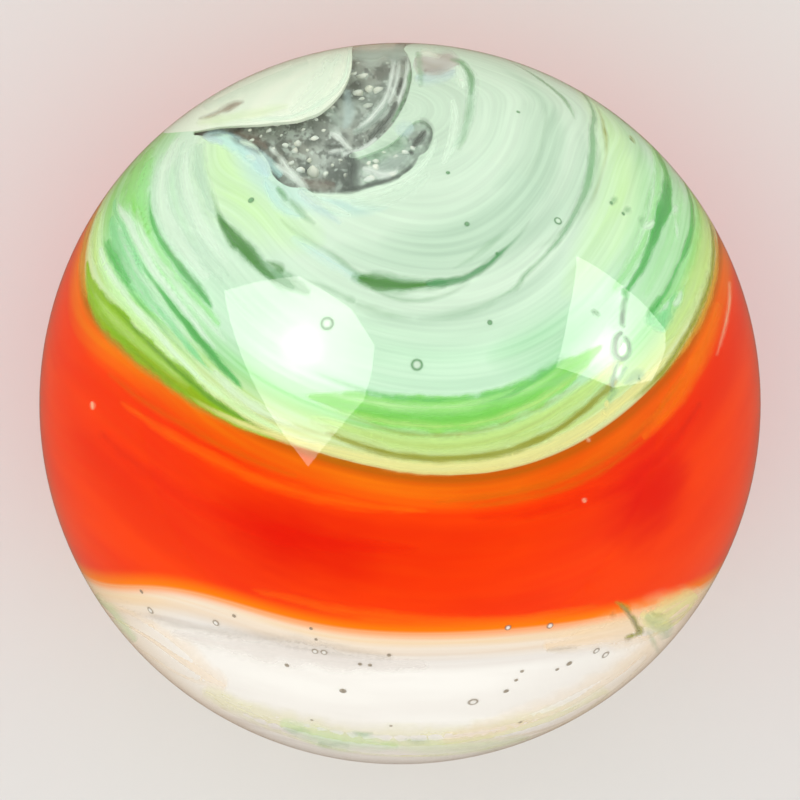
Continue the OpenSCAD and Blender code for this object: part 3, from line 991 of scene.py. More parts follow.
        (86, 53, 0.55), (93, 53.8, 0.5), (100, 54.9, 0.5), (106, 56, 0.4), (112, 57.8, 0.3), (118, 60, 0.1),
    ]),
    ("olive_line", 0.4, 0.8, [(83, 53.3, 0.1), (92, 54.1, 0.2), (100, 55.2, 0.25), (108, 56.9, 0.1)]),
    ("jade", 0.8, 0.7, [(57.3, 54.5, 0.4), (60, 54.9, 1.4), (63, 55, 1.2), (66, 54.4, 0.5), (69.5, 54.2, 0.2)]),
    ("jade", 0.7, 0.8, [(65, 55.8, 0.2), (69, 55.2, 0.4), (73, 54.7, 0.1)]),
    ("milk_mint", 0.8, 0.6, [(66, 54.9, 0.2), (68.5, 55.2, 0.5), (71, 54.8, 0.2)]),
    ("milk_mint", 0.7, 0.6, [(61, 53.9, 0.1), (64, 54.1, 0.3), (66, 53.9, 0.1)]),
    ("milk_mint", 0.7, 0.6, [(82, 50.5, 0.1), (85, 49.8, 0.3), (88, 49.2, 0.1)]),
    ("milk_mint", 0.7, 0.6, [(88, 48.8, 0.1), (91, 49.4, 0.3), (93.5, 50, 0.1)]),
    ("milk_mint", 0.8, 0.6, [(75, 43.6, 0.1), (77.5, 44.5, 0.45), (80.5, 45, 0.2)]),
    ("moss", 0.5, 0.7, [(75, 43.4, 0.1), (77, 42.8, 0.3), (79, 43.3, 0.1)]),
    ("moss", 0.45, 0.7, [(78, 43.9, 0.05), (84, 43.2, 0.2), (90, 43.6, 0.2), (96, 44.3, 0.05)]),
    ("olive_line", 0.5, 0.7, [(108, 42.8, 0.1), (110.5, 43.1, 0.4), (112.7, 43.7, 0.1)]),
    ("moss", 0.6, 0.7, [(73.3, 37, 0.1), (76, 37.2, 0.3), (78.2, 37.5, 0.1)]),
    ("moss", 0.6, 0.7, [(74.3, 39.6, 0.1), (76.5, 40, 0.3), (78.2, 40.3, 0.1)]),
    ("ochre", 0.8, 0.7, [(56, 61.8, 0.1), (66, 60.9, 0.4), (77, 60.5, 0.5), (87, 60.7, 0.5), (97, 61.6, 0.4), (105, 63, 0.1)]),
    ("olive_line", 0.85, 0.7, [(45, 62.4, 0.1), (54, 61.7, 0.4), (60, 60.8, 0.4), (67, 60, 0.45), (77, 59.5, 0.5), (87, 59.7, 0.5), (97, 60.5, 0.4), (105, 62, 0.2)]),
    # Far side
    ("sea_green", 0.8, 0.6, [(118, 48, 0.2), (132, 46, 0.6), (148, 45, 0.7), (162, 45.6, 0.5), (174, 47, 0.1)]),
    ("spring", 0.8, 0.9, [(112, 52, 0.5), (130, 50.6, 1.4), (150, 50, 1.8), (170, 50, 1.4), (188, 51, 0.3)]),
    ("deep_green", 0.7, 0.5, [(126, 55, 0.1), (145, 53.6, 0.5), (165, 53.4, 0.5), (180, 54, 0.4), (196, 55.6, 0.1)]),
    ("cream", 0.8, 0.6, [(110, 61, 0.2), (140, 59, 0.8), (180, 58.8, 0.9), (215, 58.8, 0.8), (245, 59, 0.2)]),
    ("moss", 0.6, 0.6, [(106, 30, 0.1), (118, 31, 0.4), (132, 31.4, 0.4), (146, 33, 0.1)]),
]

# The same for streaks near the window and for single marks, with their paths in the photograph's
# pixels: across, down and half width
SWIRL_MARKS = [
    ("sage", 0.6, 1.0, [(198, 140, 1), (197, 158, 2.6), (201, 180, 3), (209, 200, 2.6), (217, 216, 1)]),
    ("ice", 0.55, 1.0, [(206, 134, 2), (222, 135, 5), (236, 142, 6), (248, 150, 6), (258, 159, 6), (265, 168, 4), (269, 176, 1)]),
    ("blue_grey", 0.5, 1.0, [(246, 145, 1), (256, 152, 4), (263, 161, 5), (267, 169, 3), (269, 174, 1)]),
    ("blue_grey", 0.7, 0.8, [(204, 133, 1), (212, 136, 3), (219, 138, 2), (224, 142, 1)]),
    ("smoke", 0.45, 0.8, [(200, 132, 0.8), (210, 133, 2), (222, 132, 1.6), (230, 132, 0.8)]),
    ("smoke", 0.5, 0.8, [(230, 133, 0.8), (238, 139, 2), (247, 143, 2), (256, 148, 1.6), (262, 153, 0.8)]),
    ("milk_mint", 0.8, 0.7, [(240, 138, 0.8), (247, 141, 1.6), (254, 144, 1.4), (260, 148, 0.6)]),
    ("milk_mint", 0.7, 0.8, [(246, 154, 0.8), (252, 155, 2.4), (257, 158, 1)]),
    ("milk_mint", 0.8, 0.8, [(300, 188, 1), (310, 196, 3), (322, 202, 3), (338, 208, 2), (352, 214, 0.8)]),
    ("blue_grey", 0.5, 0.9, [(300, 187, 1), (306, 194, 3), (316, 203, 3), (330, 214, 2), (342, 222, 0.8)]),
    ("moss", 0.6, 0.8, [(277, 185, 0.8), (281, 189, 2.2), (285, 194, 2), (288, 199, 0.8)]),
    ("moss", 0.35, 0.8, [(290, 196, 0.8), (297, 206, 1.6), (306, 215, 1.6), (316, 223, 0.8)]),
    ("rose", 0.6, 1.0, [(414, 56, 3), (424, 60, 9), (436, 62, 11), (448, 61, 9), (460, 62, 3)]),
    ("blue_grey", 0.5, 1.0, [(414, 74, 1), (424, 76, 4), (436, 75, 5), (448, 71, 4), (458, 66, 1)]),
    ("taupe", 0.35, 0.9, [(432, 51, 1), (440, 53, 2), (448, 55, 2), (455, 58, 0.8)]),
    ("taupe", 0.35, 0.9, [(420, 58, 1), (428, 62, 2.4), (436, 64, 2), (444, 62, 0.8)]),
    ("taupe", 0.3, 0.9, [(424, 68, 1), (432, 71, 1.8), (441, 70, 1.6), (450, 66, 0.8)]),
    ("ivory", 0.5, 0.9, [(420, 49, 1), (428, 50, 2.6), (435, 52, 2), (440, 55, 0.8)]),
    ("moss", 0.5, 0.8, [(418, 48, 1), (419, 60, 2.2), (421, 71, 2), (421, 80, 1.2), (418, 83, 0.6)]),
    ("moss", 0.75, 0.6, [
        (449, 56, 0.8), (459, 59, 1.8), (466, 65, 2.2), (470, 74, 2.4), (471, 84, 2.2), (470, 93, 1.2),
    ]),
    ("moss", 0.35, 0.9, [(470, 90, 1), (469, 103, 2.6), (467, 118, 2.6), (463, 134, 2), (457, 148, 1)]),
    ("milk_mint", 0.8, 0.8, [(456, 62, 1), (459, 70, 4), (462, 79, 3.4), (462, 86, 1)]),
    ("milk_mint", 0.6, 0.8, [(452, 96, 1), (455, 118, 3), (451, 142, 3), (442, 162, 1)]),
    ("grey_mint", 0.5, 0.9, [(350, 202, 1), (372, 200, 4), (394, 194, 5), (414, 184, 4), (430, 170, 1)]),
    ("milk_mint", 0.7, 0.8, [(300, 190, 0.6), (330, 194, 2), (356, 193, 2.6), (380, 187, 2.6), (402, 178, 2.4), (419, 166, 2), (431, 150, 1.4), (436, 134, 0.6)]),
    # The crack near the right of the swirl, partly painted light: its dark marks are partly its own dark green glass
    # and partly painted shade where the crease breaks the skin's reflection, and the white middle of its ring is a
    # painted glint.
    ("sea_green", 0.8, 0.8, [(622, 286, 0.8), (624, 291, 2.2), (625, 296, 1.6), (624, 302, 1)]),
    ("moss", 0.9, 0.7, [
        (624, 296, 1), (623, 303, 1.8), (622, 310, 1.8), (621, 317, 1.6), (621, 323, 1.4), (624, 327, 0.8),
    ]),
    ("smoke", 0.6, 0.6, [(622, 308, 0.6), (621, 314, 1.3), (621, 320, 1.3), (622, 324, 0.6)]),
    ("moss", 0.8, 0.7, [(590, 309, 0.8), (593, 311, 1.8), (596, 313, 1.6), (598, 316, 0.6)]),
    ("moss", 0.95, 0.6, [
        (622, 331, 1), (617, 334, 2), (614, 340, 2.4), (613, 347, 2.4), (614, 354, 2.2), (618, 358, 1.8),
        (623, 358, 1.6), (627, 354, 1.6), (628, 347, 1.5), (626, 340, 1.4), (622, 335, 0.8),
    ]),
    ("smoke", 0.9, 0.6, [(622, 331, 0.6), (618, 334, 1), (615, 340, 1.1), (614, 348, 1.2), (615, 354, 1.1), (619, 358, 1), (623, 358, 0.9), (626, 354, 0.6)]),
    ("smoke", 0.6, 0.6, [(622, 334, 0.5), (626, 339, 0.9), (628, 346, 0.9), (627, 352, 0.6)]),
    ("milk", 1.0, 0.5, [(623, 342, 0.8), (622, 349, 2), (620, 355, 0.8)]),
    ("moss", 0.95, 0.6, [(618, 360, 0.8), (615, 367, 2), (613, 374, 1.8), (611, 381, 2), (611, 388, 1.2), (609, 392, 0.6)]),
    ("smoke", 0.65, 0.7, [(616, 362, 0.6), (613, 369, 1.1), (612, 376, 0.9), (611, 383, 1), (611, 387, 0.5)]),
    ("moss", 0.8, 0.7, [(626, 366, 0.8), (622, 371, 1.3), (619, 377, 1.2), (617, 382, 0.6)]),
    ("milk_mint", 0.8, 0.6, [(620, 364, 0.8), (618, 370, 1.6), (616, 376, 1.2), (616, 380, 0.6)]),
    ("moss", 0.4, 0.9, [(622, 384, 1), (630, 378, 4), (638, 374, 4), (642, 380, 1)]),
    ("moss", 0.45, 0.9, [(616, 388, 1), (610, 396, 1.8), (606, 406, 1.4), (604, 412, 0.6)]),
    ("cream", 0.9, 0.6, [(606, 400, 0.8), (606, 404, 1.8), (605, 408, 0.8)]),
    ("cream", 0.9, 0.6, [(601, 411, 0.8), (603, 414, 2), (606, 416, 0.8)]),
    ("sea_green", 0.7, 0.8, [(659, 294, 0.8), (656, 300, 2.2), (652, 306, 2.2), (648, 312, 2), (646, 317, 0.8)]),
    ("jade", 0.7, 0.9, [(650, 311, 1), (648, 318, 3), (650, 324, 1.6)]),
    ("jade", 0.7, 0.9, [(664, 308, 1), (662, 316, 2.4), (661, 324, 2.4), (660, 332, 1)]),
]

# The same for the orange band, the white field and the lobe
BAND_MARKS = [
    ("brown", 0.4, 0.9, [(430, 504, 1), (520, 492, 2.6), (590, 466, 3), (640, 430, 2.6), (684, 374, 1)]),
    ("brown", 0.35, 0.9, [(470, 508, 1), (540, 496, 2), (600, 472, 2), (650, 434, 1)]),
    ("brown", 0.35, 0.9, [(108, 372, 1), (150, 404, 2.4), (200, 434, 2.6), (256, 462, 2), (300, 478, 1)]),
    ("amber", 0.5, 1.0, [(640, 440, 2), (674, 400, 6), (700, 350, 6), (716, 300, 3)]),
    ("peach", 0.7, 0.6, [(727, 280, 0.8), (727, 300, 1.2), (724, 320, 1.2), (719, 340, 1), (714, 356, 0.6)]),
    ("peach", 0.6, 0.5, [(94, 401, 0.8), (95, 405, 2.4), (95, 410, 0.8)]),
    ("peach", 0.7, 0.5, [(581, 499, 0.8), (583, 501, 2), (585, 503, 0.8)]),
    ("peach", 0.5, 0.5, [(585, 438, 0.8), (587, 440, 1.8), (589, 442, 0.8)]),
    ("red", 0.35, 1.0, [(100, 430, 2), (150, 474, 6), (220, 514, 8), (300, 540, 8), (380, 548, 4), (420, 550, 1)]),
    ("red", 0.4, 0.9, [(470, 520, 1), (540, 512, 5), (610, 490, 7), (660, 455, 6), (700, 400, 2)]),
    ("amber", 0.4, 0.9, [(120, 400, 1), (180, 440, 4), (260, 480, 5), (350, 505, 4), (430, 512, 1)]),
    ("amber", 0.35, 0.9, [(250, 590, 1), (330, 610, 4), (420, 622, 5), (510, 622, 4), (600, 606, 1)]),
]

FIELD_MARKS = [
    ("taupe", 0.3, 1.0, [(150, 616, 1), (184, 627, 3), (240, 636, 4), (299, 645, 5), (350, 654, 4), (396, 660, 1)]),
    ("grey_milk", 0.7, 1.0, [(170, 634, 2), (240, 648, 8), (300, 656, 10), (360, 664, 8), (430, 668, 2)]),
    ("taupe", 0.5, 0.7, [(545, 652, 1), (560, 651, 1.4), (576, 649, 1)]),
    ("peach", 0.45, 1.0, [(540, 650, 4), (600, 636, 12), (640, 626, 18), (676, 606, 14), (700, 590, 4)]),
    ("peach", 0.4, 1.0, [(76, 596, 4), (110, 616, 12), (150, 640, 16), (190, 668, 14), (230, 690, 4)]),
    ("cream", 0.4, 1.0, [(200, 690, 4), (270, 722, 10), (360, 744, 14), (460, 744, 14), (550, 722, 10), (610, 690, 4)]),
    ("peach", 0.35, 1.0, [(440, 744, 4), (500, 732, 12), (560, 712, 14), (620, 674, 10), (660, 636, 4)]),
    ("cream", 0.7, 1.0, [(638, 616, 3), (650, 620, 10), (664, 618, 13), (680, 606, 10), (694, 594, 4)]),
    ("moss", 0.4, 1.0, [(644, 616, 2), (652, 622, 7), (660, 630, 8), (666, 640, 4)]),
    ("olive_line", 0.9, 0.6, [
        (612, 603, 0.6), (619, 606, 1.6), (625, 611, 2.6), (628, 617, 1.6), (632, 621, 3.4), (635, 628, 2.2),
        (639, 633, 2.8), (634, 636, 1.4), (628, 638, 2), (622, 641, 0.6),
    ]),
    ("umber", 0.75, 0.7, [(618, 606, 0.6), (625, 612, 1.4), (630, 619, 1.8), (634, 627, 1.6), (637, 633, 1.2), (632, 637, 0.5)]),
    ("olive_line", 0.5, 0.8, [(648, 612, 0.6), (654, 616, 1.4), (664, 616, 1), (676, 611, 0.5)]),
    ("umber", 0.6, 0.8, [(622, 640, 0.6), (626, 641, 1.4), (630, 639, 0.6)]),
    ("moss", 0.5, 0.9, [(644, 632, 0.8), (650, 640, 1.8), (655, 650, 1.2), (658, 658, 0.6)]),
    ("cream", 0.7, 0.8, [(652, 628, 0.8), (664, 624, 1.8), (678, 616, 1.4), (690, 606, 0.6)]),
    ("taupe", 0.35, 0.9, [(656, 628, 0.6), (668, 624, 1.2), (682, 616, 1), (694, 606, 0.4)]),
    ("brown", 0.6, 0.9, [(608, 616, 0.8), (611, 617, 1.6), (615, 616, 0.6)]),
    ("spring", 0.35, 0.9, [(96, 596, 2), (112, 612, 5), (126, 628, 4), (138, 644, 2)]),
    ("spring", 0.3, 1.0, [(280, 724, 2), (306, 734, 6), (336, 742, 8), (370, 746, 6), (400, 748, 2)]),
    ("lime", 0.3, 1.0, [(380, 746, 2), (430, 750, 6), (480, 748, 6), (530, 740, 2)]),
    ("moss", 0.35, 0.8, [(284, 730, 1), (294, 734, 2.6), (304, 733, 1.6), (312, 737, 1)]),
    ("moss", 0.35, 0.8, [(318, 745, 1), (328, 748, 2.4), (340, 746, 1.6), (350, 749, 1)]),
    ("moss", 0.45, 0.7, [(352, 734, 0.8), (362, 737, 2), (374, 736, 0.8)]),
    ("moss", 0.4, 0.7, [(404, 742, 0.8), (416, 744, 2), (430, 743, 0.8)]),
]

LOBE_MARKS = [
    ("taupe", 0.85, 0.8, [(199, 117, 0.8), (210, 114.5, 1.6), (220, 110, 2), (228, 106, 2.8), (236, 102, 2.4), (246, 99, 0.8)]),
    ("taupe", 0.8, 0.8, [(222, 110, 0.6), (229, 106.5, 1.6), (235, 103.5, 1.4), (240, 101, 0.6)]),
    # A painted highlight: the soft pale patch where the lobe is lit brightest.
    ("milk_mint", 0.4, 1.0, [(290, 110, 2), (306, 96, 8), (320, 80, 10), (332, 62, 8), (340, 50, 2)]),
    ("milk_mint", 0.9, 0.7, [
        (232, 119, 0.6), (262, 117, 1.6), (288, 115, 1.8), (310, 107, 2), (326, 97, 2), (338, 86, 2), (346, 72, 2), (349, 56, 1.6), (350, 46, 0.8),
    ]),
    ("sage", 0.3, 1.0, [(204, 106, 2), (228, 93, 6), (256, 80, 8), (286, 68, 6), (310, 58, 2)]),
    ("lime", 0.3, 0.9, [(196, 121, 1), (214, 119, 3), (236, 115, 4), (262, 110, 4), (290, 102, 1)]),
]

# Threads in the window, with their depth in millimetres after the softness
WINDOW_THREADS = [
    # The first two strands, along the window's top edge, are partly painted light: paler than the glass there, to make
    # up for the dim light near the ball's edge.
    ("pale_smoke", 0.7, 1.0, 0.15, [(352, 52, 4), (366, 50, 9), (382, 49, 10), (396, 49, 8), (408, 50, 4)]),
    ("olive_smoke", 0.5, 1.0, 0.12, [(344, 42, 3), (360, 41, 5), (378, 41, 5), (396, 42, 4)]),
    ("pale_smoke", 0.2, 1.0, 0.3, [(330, 130, 3), (344, 118, 8), (358, 104, 9), (376, 92, 9), (392, 78, 6), (400, 64, 3)]),
    ("blue_grey", 0.35, 0.9, 0.5, [(347, 86, 2), (348, 96, 3.6), (349, 108, 4), (347, 119, 3), (344, 126, 1)]),
    ("pale_smoke", 0.7, 0.8, 0.4, [(390, 88, 1), (386, 98, 4), (380, 108, 6), (371, 117, 5), (362, 125, 3), (352, 131, 1)]),
    ("thread", 0.8, 0.6, 0.3, [(393, 52, 0.6), (393, 65, 1.2), (391, 77, 1.2), (388, 88, 1.2), (384, 98, 1.4), (377, 108, 1.4), (368, 118, 1.2), (357, 126, 0.6)]),
    ("thread", 0.7, 0.6, 0.3, [(399, 56, 0.6), (398, 68, 1.2), (396, 80, 1.4), (392, 92, 1.4), (388, 101, 0.8)]),
    ("thread", 0.85, 0.6, 0.25, [(403, 44, 0.8), (407, 54, 1.3), (408, 65, 1.3), (406, 76, 1.3), (403, 87, 1.3), (399, 98, 1.3), (394, 109, 1.3), (388, 119, 1.4), (379, 129, 1.2), (370, 137, 0.6)]),
    ("smoke", 0.85, 0.7, 0.35, [(402, 74, 1), (401, 80, 2), (400, 86, 2.4), (398, 93, 1.4)]),
    ("smoke", 0.85, 0.6, 0.2, [(397, 98, 1.2), (394, 106, 2), (390, 114, 2.6), (384, 121, 3.4), (378, 128, 4), (372, 134, 3), (368, 136, 1)]),
    ("smoke", 0.5, 0.8, 0.2, [(404, 52, 1), (404.5, 57, 2.6), (403, 62, 1)]),
    ("moss", 0.6, 0.7, 0.15, [(410, 66, 0.8), (410, 73, 1.8), (409, 80, 1.4), (406, 90, 1), (402, 101, 1.2), (397, 111, 1.2), (391, 121, 0.6)]),
    ("thread", 0.8, 0.7, 0.5, [(330, 129, 0.8), (336, 132, 2), (341, 136, 2), (346, 142, 1.8), (352, 148, 1)]),
    ("thread", 0.7, 0.7, 0.5, [(328, 150, 0.6), (335, 148.5, 1.4), (343, 147, 0.8)]),
    ("smoke", 0.7, 0.7, 0.5, [(326, 143, 1), (334, 143.5, 2.4), (342, 142.5, 1)]),
    ("thread", 0.8, 0.7, 0.15, [(343, 151, 0.8), (350, 151.5, 1.6), (359, 148.5, 2), (369, 143.5, 2), (378, 136, 1.4)]),
    ("smoke", 0.8, 0.7, 0.15, [(345, 156, 1.4), (350, 154.5, 2.4), (356, 153, 1.6), (359, 152, 0.6)]),
    ("thread", 0.8, 0.7, 0.4, [(280, 153, 0.6), (284, 159, 1.6), (288, 165, 2), (292, 170, 2.6), (297, 176, 3.4), (302, 183, 3.6), (307, 190, 2.6), (312, 196, 1)]),
    ("thread", 0.7, 0.7, 0.35, [(272, 161, 0.6), (278, 164.5, 1.6), (284, 168, 2), (290, 172, 2), (297, 178, 1)]),
    ("thread", 0.6, 0.7, 0.4, [(270, 144, 0.6), (273, 147, 1.8), (277, 151, 1), (280, 155, 0.6)]),
    ("ice", 0.5, 0.9, 0.35, [(262, 150, 1), (268, 158, 2.6), (274, 166, 3), (283, 173, 2)]),
    ("umber", 0.3, 0.9, 0.4, [(234, 131, 1), (242, 133, 4), (252, 136, 5), (262, 141, 4), (268, 147, 1)]),
    ("umber", 0.3, 0.9, 0.5, [(300, 176, 1), (312, 182, 5), (324, 183, 6), (336, 182, 3)]),
    ("pale_smoke", 0.5, 0.9, 0.5, [(323, 100, 1), (330, 108, 4), (336, 114, 3), (342, 122, 1)]),
]

# Smoky marks that lie over the pale curl in the hook
CURL_MARKS = [
    ("smoke", 0.8, 1.0, 0.08, [(352, 150, 2), (352, 160, 5), (352, 172, 6), (353, 184, 5), (354, 192, 2)]),
    ("smoke", 0.85, 0.7, 0.1, [(413, 145, 1), (416, 140, 2.4), (420, 135, 2.8), (423, 131, 2.4), (426, 128, 0.8)]),
    ("smoke", 0.6, 0.7, 0.1, [(419, 117, 0.6), (424, 118, 1.2), (428, 121, 1.4), (431, 126, 1.4), (431, 133, 1.2), (429, 140, 1.2), (425, 146, 0.8)]),
    ("smoke", 0.8, 0.7, 0.1, [(409, 148, 0.8), (411, 150, 1.6), (413, 152, 0.8)]),
    ("blue_grey", 0.4, 1.0, 0.1, [(396, 131, 2), (402, 127, 6), (408, 125, 6), (413, 122, 2)]),
    ("moss", 0.2, 1.0, 0.1, [(366, 155, 2), (376, 153, 5), (388, 148, 6), (398, 142, 5), (408, 135, 2)]),
    ("pale_smoke", 0.6, 0.9, 0.1, [(378, 168, 2), (388, 164, 5), (399, 158, 5), (409, 152, 2)]),
    ("thread", 0.6, 0.9, 0.1, [(362, 166, 1), (372, 168, 3), (382, 172, 3), (392, 171, 2), (398, 168, 1)]),
    ("smoke", 0.85, 0.6, 0.1, [
        (336, 189.5, 0.8), (346, 189.5, 1.8), (355, 187.5, 2.2), (364, 184.5, 2), (374, 181.5, 2.2), (384, 179.5, 2), (393, 176.5, 1.6),
        (402, 171.5, 1.2), (410, 165.5, 1.2), (416, 157, 0.6),
    ]),
]

# The orange band's own broad bands, and its deeper red patches, as the heart's below
BAND_BANDS = [
    ("brown", 60.2, 0, 0, -62, 30, 0.6, 0.8, 1),
    ("red", 70, 0, 0, 60, 40, 4.0, 0.4, 0),
    ("red", 78, 0, 0, -30, 50, 5.0, 0.35, 0),
]
BAND_SPOTS = [
    ("red", 648, 500, 42, 0.9, 0.9, 0.85),
    ("red", 668, 486, 22, 0.9, 0.9, 0.5),
    ("red", 285, 540, 34, 0.9, 0.9, 0.7),
    ("red", 340, 556, 30, 0.9, 0.9, 0.5),
    ("red", 244, 522, 26, 0.9, 0.9, 0.4),
]

# Spots of smoky glass: colour, pixel across and down, half size in pixels, softness, raggedness, strength
HEART_SPOTS = [
    # This spot at the window's top is partly painted light: paler than the smoky glass, to make up for the dim light
    # near the ball's edge.
    ("olive_smoke", 376, 46, 40, 0.8, 0.8, 1.0),
    ("umber", 381, 72, 13, 0.9, 0.9, 0.3),
    ("dark_smoke", 355, 82, 9, 0.7, 0.8, 0.7),
    ("dark_smoke", 384, 84, 8, 0.7, 0.8, 0.7),
    ("dark_smoke", 357, 98, 8, 0.7, 0.8, 0.8),
    ("dark_smoke", 365, 116, 12, 0.8, 0.8, 0.6),
    ("dark_smoke", 361, 138, 9, 0.5, 0.5, 0.6),
    ("dark_smoke", 343, 133, 7, 0.7, 0.6, 0.7),
    ("dark_smoke", 342, 167, 20, 0.7, 1.0, 0.6),
    ("dark_smoke", 308, 128, 26, 0.8, 1.0, 0.6),
    ("umber", 290, 148, 22, 0.8, 1.0, 0.3),
    ("umber", 246, 130, 20, 0.8, 1.0, 0.4),
    ("bright_haze", 349, 106, 14, 0.9, 0.8, 0.6),
    ("bright_haze", 322, 150, 14, 0.9, 1.0, 0.4),
    ("bright_haze", 370, 60, 10, 0.9, 1.0, 0.4),
    ("bright_haze", 392, 108, 16, 0.9, 0.6, 0.8),
]

# Small flakes in the window: pixel across, pixel down, half size in pixels and depth
FLAKES = [
    (279, 121, 3.8, 0.35), (292, 118, 2.2, 0.5), (297, 119, 2.6, 0.6), (270, 128, 2.4, 0.5),
    (315, 136, 3.0, 0.4), (286, 143, 2.8, 0.6), (298, 141, 2.9, 0.5), (295, 149, 3.1, 0.7),
    (292, 161, 2.7, 0.6), (301, 168, 3.6, 0.4), (314, 170, 5.6, 0.8), (326, 172, 2.6, 0.5),
    (315, 182, 2.8, 0.9), (253, 138, 2.2, 0.4), (251, 128, 1.9, 0.4), (274, 147, 1.9, 0.5),
    (332, 105, 2.8, 0.9), (330, 112, 3.4, 0.9), (317, 117, 1.7, 0.6), (310, 158, 2.2, 0.8),
    (354, 71, 3.0, 0.5), (363, 73, 4.4, 0.6), (358, 90, 4.4, 0.7), (370, 86, 4.6, 0.6),
    (378, 87, 4.4, 0.5), (368, 103, 3.4, 0.9), (376, 159, 2.6, 0.2), (376, 165, 3.0, 0.2),
    (369, 161, 2.0, 0.2), (370, 177, 4.2, 0.2), (405, 150, 2.8, 0.2), (413, 146, 2.4, 0.2),
    (396, 155, 2.4, 0.2), (352, 162, 2.8, 0.5), (393, 172, 2.6, 0.2), (461, 78, 2.4, 0.1),
    (262, 134, 1.6, 0.5), (304, 127, 1.6, 0.6), (324, 128, 1.7, 0.5), (341, 158, 1.8, 0.7),
    (333, 163, 1.6, 0.6), (346, 173, 1.8, 0.6), (362, 96, 2.2, 0.7), (388, 60, 1.8, 0.6),
    (308, 148, 1.5, 0.7), (282, 133, 1.5, 0.7), (358, 60, 2.0, 0.6), (384, 150, 1.6, 0.2),
]

# Bubbles under the skin of the swirl, as pixel across, pixel down, half size across and down
SWIRL_RINGS = [(327, 322, 8, 8), (417, 364, 5, 7), (558, 218, 5, 5)]
SWIRL_DOTS = [
    (518, 108, 2.6, 2.6), (448, 169, 2.6, 2.6), (467, 221, 3.2, 3.2),
    (251, 197, 4, 4), (490, 321, 3.2, 3.2), (611, 200, 2.5, 2.5), (623, 211, 2.6, 2.6),
    (630, 137, 2.6, 2.6), (497, 251, 2, 2),
]
# Bubbles and pits of the white field
FIELD_RINGS = [
    (151, 613, 5, 5), (216, 626, 4.5, 4), (473, 706, 6.5, 6), (508, 631, 4, 3.4), (550, 629, 4.4, 4),
    (596, 654, 4.6, 4), (605, 658, 5.4, 5), (315, 655, 4, 3), (324, 656, 4, 3),
]
FIELD_DOTS = [
    (142, 594, 3, 3), (234, 619, 2.6, 2.6), (287, 669, 3, 3), (343, 695, 4.4, 3.2),
    (360, 668, 2.6, 2.4), (370, 669, 2.6, 2.4), (389, 659, 2.6, 2.4), (311, 632, 2.2, 2),
    (312, 724, 2.2, 2), (391, 730, 2.2, 2), (569, 667, 4, 1.4), (557, 673, 2.6, 2.4),
    (522, 675, 2.6, 2.4), (516, 684, 2.6, 2.4), (506, 695, 3.6, 2.8), (520, 726, 2.6, 2.4),
    (316, 643, 2, 2),
]

def swirl_material():
    s = sizes()
    border = math.degrees(s.upper_border)
    glass = Glass("Swirl glass", s.swirl_lean, border, UPPER_SWELLS)
    glass.base(0, border, [
        (0, "grey_mint"), (10, "grey_mint"), (17, "milk_mint"), (33, "milk_mint"), (41, "mint"),
        (49, "mint"), (53, "spring"), (56, "lime"), (border, "cream"),
    ])
    glass.bands_of(SWIRL_BANDS)
    glass.veil(glass.bands, "sage", 0.25)
    glass.veil(glass.lines, "milk_mint", 0.3)
    glass.vary(glass.lines, 0.95, 1.03)
    glass.vary(glass.cloud, 0.97, 1.02)
    # A soft brown edge meets the orange band
    edge = eased(glass.tree, glass.past, -0.6, 0.3)
    glass.veil(edge, "brown", 0.85)
    return glass.done()


def band_material():
    s = sizes()
    border = math.degrees(s.upper_border)
    glass = Glass("Orange glass", s.swirl_lean, border, UPPER_SWELLS, fineness=4.0)
    glass.base(border, border + 20, [
        (border, "brown"), (border + 0.9, "brown"), (border + 2.2, "amber"), (border + 3.2, "amber"),
        (border + 6.5, "orange"), (border + 20, "orange"),
    ])
    glass.veil(glass.lines, "red", 0.22)
    glass.veil(glass.cloud, "red", 0.3)
    glass.vary(glass.lines, 0.97, 1.02)
    glass.bands_of(BAND_BANDS)
    glass.spots(BAND_SPOTS, s.skin)
    lower_edge(glass)
    return glass.done()


def lower_edge(glass):
    """The band's lower edge brightens to amber, then fades softly into peach."""
    s = sizes()
    tree = glass.tree
    coordinates = add(tree, "ShaderNodeTexCoord").outputs["Object"]
    place = grouped(tree, "place_round_axis", place=coordinates, lean=s.field_lean)
    past = calc(tree, "SUBTRACT", place.outputs["Angle"], math.degrees(s.lower_border))
    for c, w, h in LOWER_SWELLS:
        turn = place.outputs["Turn"]
        rise = grouped(tree, "border_swell", turn=turn, centre=c, width=w, height=h)
        past = calc(tree, "SUBTRACT", past, rise.outputs[0])
    glass.veil(eased(tree, past, -3.5, -0.2), "rim_orange", 0.9)
    glass.veil(eased(tree, past, -0.7, 0.7), "peach", 1.0)
    return past


def field_material():
    s = sizes()
    border = math.degrees(s.lower_border)
    glass = Glass("White glass", s.field_lean, border, LOWER_SWELLS, fineness=3.0, clouds=1.6)
    glass.base(border, 180, [
        (border, "peach"), (border + 2, "peach"), (border + 6, "grey_milk"), (border + 9, "milk"),
        (border + 22, "milk"), (150, "grey_milk"), (180, "milk"),
    ])
    glass.veil(glass.lines, "milk", 0.4)
    glass.veil(glass.cloud, "grey_milk", 0.3)
    # The peach glass runs further down at both sides
    side = calc(glass.tree, "ABSOLUTE", glass.turn)
    glass.veil(eased(glass.tree, side, 38.0, 75.0), "peach", 0.45)
    edge = calc(glass.tree, "SUBTRACT", 1.0, eased(glass.tree, glass.past, -0.7, 1.9))
    glass.veil(edge, "rim_orange", 0.9)
    return glass.done()


def lobe_material():
    s = sizes()
    glass = Glass("White lobe glass", s.swirl_lean, 60.0, UPPER_SWELLS, fineness=2.0)
    glass.base(0, 70, [(0, "ivory"), (70, "ivory")])
    glass.veil(glass.cloud, "milk_mint", 0.4)
    glass.vary(glass.lines, 0.98, 1.01)
    return glass.done()


